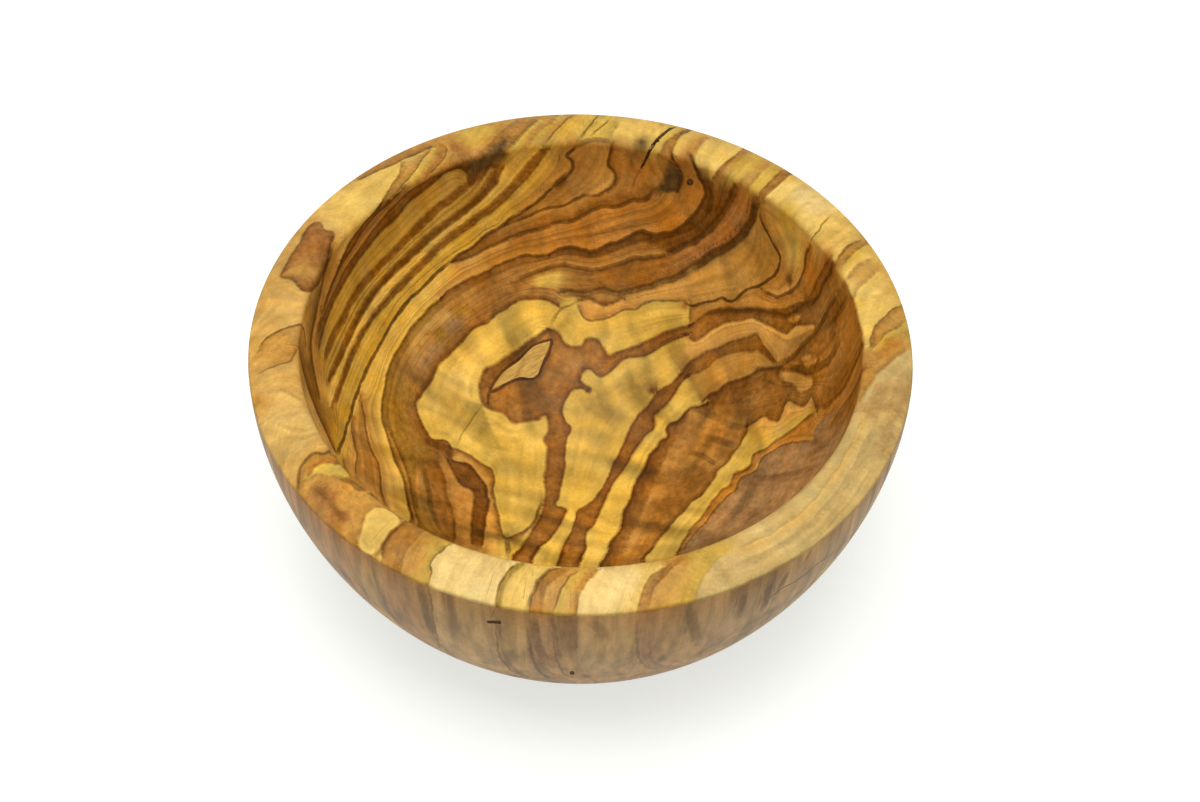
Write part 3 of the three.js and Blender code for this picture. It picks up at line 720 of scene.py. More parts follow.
    # The near wall, behind the near lip. The floor's streaks go up it to the bands of the lip.
    "near wall, mottled edge": ("moss", "gold", 0.5, 0.4, 0.2, [(407, 502), (411, 517), (404, 521)]),
    "near wall, mottled line": ("moss", "amber", 0.5, 0.45, 0.3, [(416, 515), (419, 523), (424, 532)]),
    "near wall, tan edge": ("tan", "brown", 0.35, 0.4, 0.3, [(455, 521), (455, 537), (452, 544)]),
    "near wall, stain": ("brown", "gold", 0.35, 0.4, 0.2, [(520, 548), (513, 556), (520, 563)]),
    "near wall, stain's far edge": ("gold", "brown", 0.4, 0.36, 0.2, [(541, 547), (533, 559), (530, 566)]),
    "near wall, A left": ("brown", "gold", 0.4, 0.4, 0.2, [(561, 552), (557, 562), (556, 568)]),
    "near wall, A right": ("gold", "brown", 0.4, 0.4, 0.2, [(586, 551), (580, 562), (577, 572)]),
    "near wall, broad left": ("umber", "gold", 0.45, 0.5, 0.2, [(608, 551), (600, 563), (598, 572)]),
    "near wall, broad right": ("gold", "brown", 0.35, 0.35, 0.2, [(653, 550), (645, 558), (661, 569)]),
    "near wall, double edge": ("rust", "gold", 0.5, 0.42, 0.2, [(678, 550), (675, 556), (680, 563)]),
    # The right side.
    "brown D, upper edge": ("honey", "brown", 0.4, 0.4, 0.2, [
        (680, 373), (690, 362), (700, 356), (710, 350), (720, 347), (730, 342), (740, 339), (750, 336),
        (756, 334), (760, 338), (763, 345), (768, 350), (772, 357), (777, 361)]),
    "brown D, lower edge": ("brown", "caramel", 0.3, 0.35, 0.2, [
        (688, 377), (700, 371), (708, 368), (713, 363), (720, 357), (730, 353), (745, 351), (752, 351),
        (757, 349), (762, 353), (768, 359), (773, 364)]),
    "brown E, upper edge": ("caramel", "umber", 0.5, 0.4, 0.15, [
        (703, 400), (710, 394), (718, 390), (725, 384), (735, 380), (745, 377), (752, 373), (758, 369),
        (768, 367), (780, 366)]),
    "brown E, inner line": ("brown", "brown", 0.4, 0.7, 0.4, [
        (715, 402), (730, 402), (740, 398), (750, 393), (760, 390), (770, 383), (778, 376)]),
    "brown E, lower edge": ("brown", "honey", 0.35, 0.34, 0.15, [
        (748, 427), (755, 422), (762, 417), (766, 416), (770, 420), (778, 421), (782, 414), (785, 405),
        (788, 400), (793, 402), (800, 406), (805, 405), (809, 400), (812, 397), (814, 405), (816, 411)]),
    "right wall dark sweep": ("brown", "tan", 0.7, 0.8, 0.4, [
        (836, 296), (830, 306), (825, 316), (820, 325), (813, 334), (806, 342), (799, 350), (791, 358),
        (780, 364)]),
    "right wall second sweep": ("rust", "brown", 0.55, 0.9, 0.5, [
        (846, 300), (841, 310), (834, 320), (828, 331)]),
    "right wall light line": ("brown", "brown", 0.0, 0.2, 0.3, [
        (836, 326), (829, 338), (822, 348), (813, 357)]),
    "right wall tan, by the brink": ("amber", "rust", 0.2, 0.4, 0.5, [
        (846, 306), (841, 321), (839, 336), (841, 349), (846, 356)]),
    "right wall streak one": ("rust", "amber", 0.7, 1.2, 0.4, [
        (838, 341), (834, 352), (828, 361), (819, 367), (808, 371), (797, 369), (786, 367)]),
    "right wall small island": ("brown", "amber", 0.3, 0.3, 0.3, [
        (787, 318), (791, 314), (797, 313), (802, 316), (799, 321), (792, 323), (787, 318)]),
    "right wall tan island": ("brown", "amber", 0.15, 0.3, 0.5, [
        (801, 358), (806, 354), (813, 355), (817, 360), (812, 365), (805, 365), (801, 358)]),
    "right wall gold patch": ("brown", "honey", 0.25, 0.35, 0.4, [
        (780, 373), (788, 371), (797, 371), (805, 376), (812, 378), (812, 386), (805, 391), (799, 391),
        (793, 385), (784, 381), (780, 373)]),
    "right wall streak two": ("rust", "brown", 0.6, 0.8, 0.4, [
        (862, 346), (858, 358), (853, 369), (848, 381), (841, 392), (832, 401), (820, 409)]),
    "right wall streak three": ("brown", "rust", 0.5, 0.5, 0.4, [
        (863, 368), (857, 383), (850, 396), (841, 408), (833, 420)]),
    "right wall, ash side": ("ash", "rust", 0.2, 0.4, 0.5, [
        (836, 408), (826, 416), (817, 427), (812, 440)]),
    # The belly, below the lip. Soft grey streaks run down it.
    "belly thin line": ("outer", "outer", 0.5, 0.32, 0.3, [
        (429, 588), (431, 602), (433, 618), (437, 635), (440, 648)]),
    "belly grey streak": ("outer", "outer", 0.4, 1.3, 0.6, [
        (421, 588), (424, 603), (428, 618), (433, 634)]),
    "belly second grey streak": ("outer", "outer", 0.45, 1.2, 0.6, [
        (533, 617), (535, 630), (538, 645), (545, 660)]),
    "belly third streak": ("outer", "outer", 0.35, 0.5, 0.5, [
        (552, 618), (555, 630), (557, 645), (560, 660)]),
    "belly grey patch": ("outer", "outer", 0.3, 1.6, 0.8, [(588, 621), (596, 626), (603, 632), (606, 642)]),
    "belly line over the fleck": ("outer", "outer", 0.4, 0.3, 0.3, [(496, 608), (493, 614), (491, 619)]),
    "belly line under the fleck": ("outer", "outer", 0.4, 0.35, 0.3, [(500, 625), (501, 632), (502, 641)]),
    "belly fourth streak": ("outer", "outer", 0.35, 1.4, 0.7, [(690, 609), (694, 626), (697, 642)]),
    "belly fifth streak": ("outer", "outer", 0.55, 1.3, 0.6, [(770, 582), (767, 596), (762, 610)]),
    "belly sixth streak": ("outer", "outer", 0.58, 0.9, 0.6, [(788, 570), (784, 580), (778, 591)]),
    "belly seventh streak": ("outer", "outer", 0.45, 1.1, 0.6, [(745, 592), (741, 606), (736, 620)]),
    "belly eighth streak": ("outer", "outer", 0.45, 0.6, 0.5, [(812, 549), (807, 558), (801, 568)]),
    "belly crease": ("outer", "outer", 0.7, 0.32, 0.2, [
        (768, 600), (776, 593), (783, 588), (791, 584), (800, 578), (808, 572), (815, 566), (823, 560),
        (831, 554)]),
}

# Soft patches: a tone, how far it reaches in mm, and the pixels that it lies on.
PATCHES = {
    "smoke by the far left brink": ("smoke", 1.7, [
        (470, 171), (478, 166), (487, 160), (496, 154), (504, 148)]),
    "dark under the smoke": ("umber", 1.2, [(470, 180), (480, 176), (492, 171)]),
    "grey patch": ("ash", 2.0, [(780, 490), (760, 505), (740, 500), (790, 462), (810, 447), (725, 528)]),
    "sand lip": ("sand", 2.0, [(760, 565), (800, 545), (840, 515), (868, 470), (888, 420)]),
    "right lip, amber": ("amber", 1.5, [(893, 342), (884, 353)]),
    "far lip, pale": ("straw", 1.5, [(640, 127), (655, 132), (630, 132), (720, 152), (712, 160)]),
    "far wall, right of the island": ("tan", 1.5, [(625, 158), (630, 175), (650, 170)]),
    "left lip, pale": ("straw", 2.0, [(350, 205), (370, 195), (345, 220)]),
    "left lip, wheat": ("wheat", 2.0, [(275, 310), (285, 300)]),
    "left lip, biscuit": ("biscuit", 2.0, [(280, 440), (295, 445), (290, 416), (300, 420)]),
    "left lip, honey": ("honey", 1.0, [(262, 399)]),
    "resin smudge": ("smoke", 0.5, [(641, 143), (643, 145)]),
    "lower left lip": ("wheat", 1.6, [(310, 440), (288, 465)]),
    "near left lip": ("honey", 1.5, [(345, 503), (355, 515), (350, 532)]),
    "mottled zone": ("moss", 1.5, [(460, 310), (440, 335), (405, 390), (400, 420), (415, 445)]),
    "mottled zone, pale streak": ("wheat", 0.6, [
        (447, 314), (441, 317), (435, 321), (430, 325), (426, 329), (422, 335), (419, 340), (416, 346),
        (413, 352)]),
    "mottled zone, grey": ("ash", 0.8, [
        (448, 328), (456, 322), (440, 340), (431, 352), (425, 362), (464, 314)]),
    "mottled zone, paler": ("tan", 0.9, [(447, 303), (430, 335), (418, 345), (405, 365), (470, 300)]),
    "gold above the heart": ("gold", 1.1, [(548, 279), (556, 278), (541, 281)]),
    "floor, tan by the curls": ("brown", 1.2, [(730, 410), (690, 480), (670, 500), (700, 470)]),
    "wall above the loop": ("gold", 2.0, [(790, 230), (797, 250), (785, 215)]),
    "dark under the loop wall": ("umber", 0.9, [(790, 281)]),
    "right wall": ("brown", 1.2, [(850, 405), (845, 372)]),
    "right wall, tan by the brink": ("amber", 1.0, [(848, 316), (852, 330), (853, 342), (851, 354)]),
    "far right lip, cream": ("cream", 1.6, [(812, 200), (804, 194), (818, 208)]),
    "near lip, honey": ("honey", 1.2, [(418, 558), (414, 564), (551, 592)]),
    # Partly the lip's pale wood, partly a painted highlight where the near lip shines.
    "near lip, cream": ("cream", 1.4, [
        (470, 568), (462, 574), (482, 580), (620, 585), (610, 592), (632, 582)]),
    "far left lip, gold": ("gold", 1.1, [(472, 138), (480, 134), (488, 131)]),
    "far left lip, russet": ("russet", 1.2, [(440, 156), (455, 148)]),
    "right lip, shade": ("dune", 2.2, [(880, 402), (885, 390), (874, 412)]),
    # Partly paler wood, partly a painted highlight on the heart's ripples.
    "heart, pale ripples": ("straw", 0.9, [(450, 386), (459, 371), (475, 352), (440, 404)]),
    "stain": ("tan", 1.5, [(560, 360), (540, 372), (576, 360)]),
    "gold between the floor strips": ("honey", 1.0, [
        (735, 365), (745, 358), (720, 375), (745, 326), (770, 338)]),
}

# Which growth layer each main streak follows, counted from the dark stem on the floor outwards. Fine lines
# run between these layers.
GROWTH = {
    "heart, left outline": 1.0, "heart, lower left line": 1.0, "heart, top line": 1.0, "loop line": 1.1,
    "far wall dark band": 1.6, "far wall dark band, left part": 1.6, "far wall line two": 2.2,
    "far wall line two, left part": 2.2, "far wall line one": 2.7, "orange band, lower edge": 3.0,
    "orange band, lower edge, left part": 3.0, "mottled zone, upper edge": 3.0,
    "orange band, upper edge, left part": 3.7, "mottled zone, left edge": 3.0,
    "orange band, upper edge": 3.7, "bold line, by the island": 4.1, "bold line, upper wall": 4.1,
    "bold line, left wall": 4.1, "fine line beside the bold one": 4.5, "brown band one, upper edge": 5.4,
    "brown band one, lower edge": 5.0, "brown band one, on the lip": 5.2, "brown band two, upper edge": 6.4,
    "brown band two, lower edge": 5.9, "brown band three, upper edge": 7.3,
    "brown band three, lower edge": 6.8, "tan tongue, outer edge": 8.0, "dark band, inner line": 8.4,
    "dark band, outer line": 8.7, "pale lip, right edge": 9.0, "pale lip, lower edge": 9.0,
    "dark band, outer edge": 9.0, "dark line under the brink": 9.6, "left brink, dark below": 10.0,
    "pale lip, upper edge": 10.5, "line towards the near left": 3.8,
    "second line towards the near left": 3.5, "pale strip, left edge": 1.3, "dark block, left edge": 1.7,
    "tan block, left edge": 2.0, "near left dark streak": 2.3, "light strip in the mottled zone": 2.6,
    "stain, left side": 0.5, "dark band, upper edge": 0.4, "dark band, upper edge, right part": 0.4,
    "dark band, lower edge, right part": 0.0, "dark band, lower edge": 0.0,
    "brown streak A, left edge": -1.0, "brown streak A, right edge": -1.5, "brown D, upper edge": -1.0,
    "brown D, lower edge": -1.5, "broad brown, left edge": -2.2, "brown E, upper edge": -2.2,
    "broad brown, right edge": -3.5, "brown E, lower edge": -3.5, "double edge, inner line": -4.3,
    "double edge, outer line": -4.8, "near left pale patch": 4.0, "near brown stripe, left edge": 3.2,
    "near brown stripe, right edge": 2.6, "near thin line": 2.0, "near band one": 0.5,
    "near band two": -1.0, "near band three": -1.6, "near bright patch, left edge": -2.2,
    "near band four": -3.8, "near band five": -4.5, "near band six": -5.2, "right lip, gold to sand": -5.2,
    "sand lip, inner side": -5.8, "sand lip, middle": -7.2, "sand lip, outer side": -8.6,
    "right lip line one": 1.4, "right wall line one": 1.4, "right lip line two": 0.4,
    "right wall line two": 0.4, "right lip line three": 0.1, "right lip eye line": -1.6,
    "far right lip edge": 2.6, "far right stripe, left line": 1.9, "far right stripe, right line": 1.6,
    "far lip line one": 4.4, "far lip line two": 4.0, "far lip soft streak": 3.7,
    "far left lip streak": 6.2, "far left lip second streak": 7.0, "thin line across the lip": 8.5,
    "second thin line across the lip": 8.0, "near left arch": 6.0, "right wall dark sweep": -0.3,
    "right wall streak one": -1.2, "right wall streak two": -2.6, "left lip second streak": 8.0,
    "left lip streak": 9.0, "near wall, mottled edge": 3.0, "near wall, mottled line": 2.8,
    "near wall, tan edge": 2.0, "near wall, stain": 0.5, "near wall, stain's far edge": 0.0,
    "near wall, A left": -1.0, "near wall, A right": -1.5, "near wall, broad left": -2.2,
    "near wall, broad right": -3.5, "near wall, double edge": -4.3, "left lip soft streak": 7.4,
    "left lip second soft streak": 6.8}

# Each streak is walked on the hollow, or on the belly. Streaks of the near wall end below the brink.
FLOOR_RUN, BRINK_RUN = 36.0, inner_run[np.argmin(np.abs(inner_side - brink).sum(1))]
BRINK_GAP = 1.5
tones = {name: np.array(linear(code)) for name, code in WOOD_TONES.items()}
walks, belly_walks = [], []
for name, (left, right, depth, half_width, softness, pixels) in FIGURE.items():
    closed = pixels[0] == pixels[-1]
    points, side = seen_at(pixels[:-1] if closed else pixels)
    line = smooth_walk(points, closed)
    if name.startswith("near wall"):
        line = line[np.linalg.norm(line, axis=1) < BRINK_RUN - BRINK_GAP]
    walk = (line, closed, tones[left], tones[right], depth, half_width, softness, GROWTH.get(name))
    (walks if side is HOLLOW else belly_walks).append(walk)

# The tones on a flat square net over the hollow and the lip: fixed beside the walks, flowing between them.
FLAT_STEP, TONE_REACH = 0.5, 0.75
TONE_ROUNDS, GRAIN_ROUNDS, GROWTH_ROUNDS = 240, 120, 300
flat_reach = inner_run[-1] + 2 * FLAT_STEP
net_count = 2 ** math.ceil(math.log2(2 * flat_reach / FLAT_STEP))
net_axis = (np.arange(net_count) - net_count / 2 + 0.5) * FLAT_STEP
net = np.stack(np.meshgrid(net_axis, net_axis, indexing="ij"), -1).reshape(-1, 2)
net_places, _ = surface_at(net)
net_tone = np.zeros((len(net), 3))
net_near = np.full(len(net), TONE_REACH)
net_grain = np.zeros((len(net), 2))
net_growth = np.full((len(net), 1), np.nan)
for walk, closed, left, right, _, _, _, growth in walks:
    near, offset, step = offsets(walk, closed, net_places)
    nearest = np.abs(offset) < net_near[near]
    near, offset, step = near[nearest], offset[nearest], step[nearest]
    net_near[near] = np.abs(offset)
    net_tone[near] = np.where((offset > 0)[:, None], left, right)
    ahead = np.gradient(walk, axis=0)[step]
    turn = 2 * np.arctan2(ahead[:, 1], ahead[:, 0])
    net_grain[near] = np.column_stack([np.cos(turn), np.sin(turn)])
    if growth is not None:
        net_growth[near] = growth
grain_known = net_near < TONE_REACH
for tone, reach, pixels in PATCHES.values():
    for spot in seen_at(pixels)[0]:
        close = (np.linalg.norm(net - spot, axis=1) < reach) & (net_near >= TONE_REACH)
        net_tone[close] = tones[tone]
        net_near[close] = 0
tone_known = net_near < TONE_REACH


def neighbours_mean(grid):
    """The mean of the four neighbours of every knot of a square net."""
    return sum(np.roll(grid, way, axis) for axis in (0, 1) for way in (1, -1)) / 4


def flowed(values, known, rounds):
    """Values on the net, kept where known and flowed smoothly over the rest."""
    fixed = known.reshape(net_count, net_count, 1)
    levels = [(values.reshape(net_count, net_count, -1) * fixed, fixed.astype(float))]
    while len(levels[-1][0]) > 1:
        half = len(levels[-1][0]) // 2
        levels.append([part.reshape(half, 2, half, 2, -1).sum((1, 3)) for part in levels[-1]])
    filled = levels[-1][0] / np.maximum(levels[-1][1], NEARLY_ZERO)
    for grid, weight in reversed(levels[:-1]):
        filled = np.repeat(np.repeat(filled, 2, 0), 2, 1)
        filled = np.where(weight > 0, grid / np.maximum(weight, NEARLY_ZERO), filled)
    kept = filled
    for _ in range(rounds):
        filled = np.where(fixed, kept, neighbours_mean(filled))
    return filled


def from_net(grid, flat):
    """Values at flattened points, read from the net between its four nearest knots."""
    at = flat / FLAT_STEP + net_count / 2 - 0.5
    low = np.clip(np.floor(at).astype(int), 0, net_count - 2)
    part = np.clip(at - low, 0, 1)
    a, b = part[:, :1], part[:, 1:]
    i, j = low[:, 0], low[:, 1]
    return ((grid[i, j] * (1 - b) + grid[i, j + 1] * b) * (1 - a)
            + (grid[i + 1, j] * (1 - b) + grid[i + 1, j + 1] * b) * a)


tone_net = flowed(net_tone, tone_known, TONE_ROUNDS)
grain_net = flowed(net_grain, grain_known, GRAIN_ROUNDS)
growth_net = flowed(np.nan_to_num(net_growth), np.isfinite(net_growth[:, 0]), GROWTH_ROUNDS)

# Fibres: fine chance tones, drawn out along the way that the streaks run. Ripples: broader ones, drawn out
# across it, as on wood with a curly figure.
CHANCE_SEED = 7
FIBRE_STEPS, RIPPLE_STEPS, RIPPLE_CELLS, RIPPLE_ROUNDS = 14, 13, 3, 4
chance = np.random.default_rng(CHANCE_SEED)
speck_net = chance.standard_normal((net_count, net_count, 1))
cell_count = net_count // RIPPLE_CELLS + 1
cell_net = chance.standard_normal((cell_count, cell_count, 1))
cell_net = np.repeat(np.repeat(cell_net, RIPPLE_CELLS, 0), RIPPLE_CELLS, 1)[:net_count, :net_count]
for _ in range(RIPPLE_ROUNDS):
    cell_net = neighbours_mean(cell_net)


def drawn_out(chance_net, steps, turned):
    """Chance tones on the net, drawn out along the streaks, or across them when turned by a right angle."""
    drawn = np.zeros((len(net), 1))
    for way in (1, -1):
        at, heading = net.copy(), None
        for _ in range(steps):
            double = from_net(grain_net, at)
            turn = np.arctan2(double[:, 1], double[:, 0]) / 2 + turned
            ahead = np.column_stack([np.cos(turn), np.sin(turn)])
            if heading is None:
                heading = ahead * way
            ahead *= np.where((ahead * heading).sum(1) < 0, -1, 1)[:, None]
            heading = ahead
            at = at + ahead * FLAT_STEP
            drawn += from_net(chance_net, at)
    return (drawn / drawn.std()).reshape(net_count, net_count, 1)


fibre_net = drawn_out(speck_net, FIBRE_STEPS, 0)
ripple_net = drawn_out(cell_net, RIPPLE_STEPS, math.pi / 2)

# The streaks are now read off at every point of the turned bowl. Streaks that lie apart share a slot, so
# that a few slots hold them all: how far to the left of its streak a point lies, and the streak's style.
STEP_REACH = 1.2
END_SHARE, END_FADE = 0.25, 2.5
NO_STREAK_STYLE = (0.0, 0.3, 0.2)
FAR_OFF = 1e3
spots = np.empty(len(bowl.data.vertices) * 3)
bowl.data.vertices.foreach_get("co", spots)
spots = spots.reshape(-1, 3) / MM
outside = under_the_skin(spots)
twin_flat = flattened(spots[:, :2])
twin_places, _ = surface_at(twin_flat)
twin_run = np.linalg.norm(twin_flat, axis=1)
outer_places = np.where(outside[:, None], spots, FAR_OFF)
slots = []
for walks_here, places, side in ((walks, twin_places, HOLLOW), (belly_walks, outer_places, BELLY)):
    for walk, closed, left, right, depth, half_width, softness, _ in walks_here:
        near, offset, step = offsets(walk, closed, places, side)
        slot = next((slot for slot in slots if not slot["used"][near].any()), None)
        if slot is None:
            slot = {"used": np.zeros(len(spots), bool),
                    "own": np.zeros(len(spots), bool),
                    "offset": np.full(len(spots), LINE_REACH),
                    "step": np.zeros((len(spots), 3)),
                    "style": np.tile(NO_STREAK_STYLE, (len(spots), 1))}
            slots.append(slot)
        slot["used"][near] = True
        slot["own"][near] = side is BELLY
        slot["offset"][near] = offset
        ease = np.clip((LINE_REACH - np.abs(offset)) / (LINE_REACH - STEP_REACH), 0, 1)
        slot["step"][near] = (left - right) * ease[:, None]
        run = np.minimum(step, len(walk) - 1 - step) * WALK_STEP
        fade = np.ones(len(near)) if closed else np.clip(END_SHARE + run / END_FADE, 0, 1)
        slot["style"][near, 0] = depth * ease * fade
        slot["style"][near, 1] = half_width
        slot["style"][near, 2] = softness

# The tone at every point, darker in a halo on the dark side of a streak. A soft change of tone across each
# streak stands in for the sharp one, which the material draws.
HALO_SHADE, HALO_MM, HALO_FULL_CONTRAST = 0.30, 0.9, 0.12
GREY_SHARES = np.array((0.21, 0.72, 0.07))
halo = np.ones(len(spots))
tone = from_net(tone_net, twin_flat)
tone_near = np.full(len(spots), TONE_REACH)
for walk, closed, left, right, *_ in walks:
    near, offset, _ = offsets(walk, closed, twin_places)
    contrast = ((left - right) * GREY_SHARES).sum() / HALO_FULL_CONTRAST
    on_dark = offset * contrast < 0
    halo[near] *= 1 - HALO_SHADE * min(1, abs(contrast)) * np.exp(-(offset / HALO_MM) ** 2) * on_dark
    nearest = np.abs(offset) < tone_near[near]
    near, offset = near[nearest], offset[nearest]
    tone_near[near] = np.abs(offset)
    tone[near] = np.where((offset > 0)[:, None], left, right)
for slot in slots:
    part = np.clip((slot["offset"] + STEP_REACH) / (2 * STEP_REACH), 0, 1)
    part = part * part * (3 - 2 * part)
    tone += slot["step"] * (part - (slot["offset"] > 0))[:, None]

# The wall is painted paler than the floor, most of all at the far side and high on the right: painted light
# against the shade that falls on the steep wall and under the far lip.
WALL_PAINTED_LIGHT, FAR_PAINTED_LIGHT, RIGHT_PAINTED_LIGHT = 0.09, 0.13, 0.14
WALL_COMES_IN, RIGHT_COMES_IN, BRINK_EASE = (-6.0, 4.0), (-9.0, -4.0), 1.0
IN_AND_OUT = (0, 1, 1, 0)
brink_runs = (BRINK_RUN - BRINK_EASE, BRINK_RUN + BRINK_EASE)
wall_runs = (*(FLOOR_RUN + run for run in WALL_COMES_IN), *brink_runs)
right_runs = (*(BRINK_RUN + run for run in RIGHT_COMES_IN), *brink_runs)
outward = spots[:, :2] / np.maximum(np.linalg.norm(spots[:, :2], axis=1), 1)[:, None]
far_share = np.clip(outward[:, 1], 0, 1)
right_share = np.clip(outward[:, 0], 0, 1) ** 2
painted_wall_light = 1 + (WALL_PAINTED_LIGHT + FAR_PAINTED_LIGHT * far_share) * np.interp(twin_run, wall_runs, IN_AND_OUT)
painted_wall_light += RIGHT_PAINTED_LIGHT * right_share * np.interp(twin_run, right_runs, IN_AND_OUT)
painted_wall_light[outside] = 1
tone *= (halo * painted_wall_light)[:, None]

# The belly is greyer and calmer than the hollow, most of all low down and past the front. Painted light
# makes it paler at either side, and painted shade makes it darker just under the lip.
OUTER_SHARE, OUTER_LINE_LOSS, OUTER_SOFTNESS = 0.7, 0.2, 0.5
LOW_BELLY_SHARE, LOW_BELLY_LINE_LOSS, LOW_BELLY_COMES_IN = 0.93, 0.8, (-2.0, 3.0)
FRONT_SLOPE, FRONT_REACH = 2.0, 1.2
RIGHT_BELLY_PAINTED_LIGHT, LEFT_BELLY_PAINTED_LIGHT = np.array((0.18, 0.2, 0.22)), np.array((0.14, 0.12, 0.08))
UNDER_LIP_MM, UNDER_LIP_PAINTED_SHADE = 3.5, np.array((0.08, 0.26, 0.5))
below = outside[:, None].astype(float)
past_front = np.clip(FRONT_SLOPE * outward[:, 1] + FRONT_REACH, 0, 1)
low_belly = np.interp(twin_run, [BRINK_RUN + run for run in LOW_BELLY_COMES_IN], (1, 0)) * past_front
outer_share = below * (OUTER_SHARE + (LOW_BELLY_SHARE - OUTER_SHARE) * low_belly)[:, None]
line_loss = OUTER_LINE_LOSS + (LOW_BELLY_LINE_LOSS - OUTER_LINE_LOSS) * low_belly
tone += outer_share * (tones["outer"] - tone)
rightward = outward[:, :1]
# Painted light: the belly is made lighter at either side.
painted_side_light = np.clip(rightward, 0, 1) * RIGHT_BELLY_PAINTED_LIGHT + np.clip(-rightward, 0, 1) * LEFT_BELLY_PAINTED_LIGHT
tone *= 1 + below * painted_side_light
# Painted shade: the belly is made darker just under the lip's overhang.
painted_shade_under_lip = np.exp(-np.clip(edge[1] - spots[:, 2:], 0, None) / UNDER_LIP_MM)
tone *= 1 - below * painted_shade_under_lip * UNDER_LIP_PAINTED_SHADE
for slot in slots:
    slot["step"] *= painted_wall_light[:, None] * (1 - outer_share)
    slot["style"][:, 0] *= 1 - (outside & ~slot["own"]) * line_loss
    slot["style"][:, 2] += outside * OUTER_SOFTNESS


def write_points(name, kind, values):
    """Store one value for each point of the bowl's mesh."""
    layer = bowl.data.attributes.new(name, kind, "POINT")
    field = "vector" if kind == "FLOAT_VECTOR" else "value"
    layer.data.foreach_set(field, np.ascontiguousarray(values, np.float32).ravel())


# Fine lines show most on the wall, ripples most on the floor, and both less on the outside.
FINE_ON_FLOOR, FINE_ON_WALL, FINE_ON_LIP = 0.3, 1.0, 0.3
RIPPLE_ON_FLOOR, RIPPLE_ON_WALL, RIPPLE_ON_LIP = 1.0, 0.42, 0.28
WALL_EASE, LIP_EASE, OUTSIDE_LOSS = 8.0, 2.0, 0.6
zone_runs = (FLOOR_RUN, FLOOR_RUN + WALL_EASE, BRINK_RUN - LIP_EASE, BRINK_RUN + LIP_EASE)
fine_shares = (FINE_ON_FLOOR, FINE_ON_WALL, FINE_ON_WALL, FINE_ON_LIP)
ripple_shares = (RIPPLE_ON_FLOOR, RIPPLE_ON_WALL, RIPPLE_ON_WALL, RIPPLE_ON_LIP)
outside_share = 1 - OUTSIDE_LOSS * outside
fine_share = np.interp(twin_run, zone_runs, fine_shares) * outside_share
ripple_share = np.interp(twin_run, zone_runs, ripple_shares) * outside_share
write_points("wood_tone", "FLOAT_VECTOR", tone)
write_points("wood_fibre", "FLOAT", from_net(fibre_net, twin_flat)[:, 0])
write_points("wood_growth", "FLOAT", from_net(growth_net, twin_flat)[:, 0])
write_points("wood_below", "FLOAT", outside.astype(float))
write_points("wood_fine", "FLOAT", fine_share)
write_points("wood_ripple", "FLOAT", from_net(ripple_net, twin_flat)[:, 0] * ripple_share)
for number, slot in enumerate(slots):
    write_points(f"streak_{number}_offset", "FLOAT", slot["offset"])
    write_points(f"streak_{number}_step", "FLOAT_VECTOR", slot["step"])
    write_points(f"streak_{number}_style", "FLOAT_VECTOR", slot["style"])

# Oiled olive wood: golden, with sharp dark growth lines and a soft satin shine from the oil.
WOBBLE_MM, WOBBLE_SIZE_MM, LINE_CORE = 0.26, 3.0, 0.45
FIBRE_SHADE, RIPPLE_SHADE, RIPPLE_SPAN = 0.09, 0.21, 2.0
DRIFT_SIZE_MM, FINE_LINES_PER_LAYER = 12.0, 5.0
FINE_LINE_SPAN, FINE_LINE_SHADE, FINE_LINE_PALER = (0.34, 0.58), 0.26, 0.078
GRAIN_SIZE_MM, GRAIN_SHADE = 0.5, 0.10
NOISE_SPAN = (0.3, 0.7)
MOTTLE_SIZE_MM, DARK_MOTTLE, PALE_MOTTLE = 1.2, 0.38, 0.07
MOTTLE_LOW, MOTTLE_HIGH, MOTTLED_GREYS = -1.0, 0.8, (0.10, 0.40)
BELLY_STREAK_MM, BELLY_STREAK_SPAN = (3.2, 3.2, 45.0), (0.32, 0.62)
BELLY_STREAK_SHADE, BELLY_STREAK_PALER = 0.45, 0.225
HUE_DRIFT_MM, MIDDLE_HUE, HUE_DRIFT, STRENGTH_DRIFT = 6.0, 0.5, 0.004, 0.03
SMOOTH_ROUGHNESS, WORN_ROUGHNESS = 0.38, 0.52
PORE_DEPTH_MM, PORE_STRENGTH = 0.05, 0.12
OIL_IOR, OIL_SHINE = 1.47, 0.1
olive_wood, tree = new_material("oiled olive wood")
coords = put(tree, "ShaderNodeTexCoord")
wobble_noise = put(tree, "ShaderNodeTexNoise", Vector=(coords, "Object"), Scale=1 / (WOBBLE_SIZE_MM * MM),
                   Detail=3.5)
wobble = put(tree, "ShaderNodeMapRange", {"clamp": False}, Value=(wobble_noise, 0), To_Min=-2 * WOBBLE_MM,
             To_Max=2 * WOBBLE_MM)
colour = put(tree, "ShaderNodeAttribute", {"attribute_name": "wood_tone"})
colour_from = (colour, "Vector")
darkness_from = 0.0
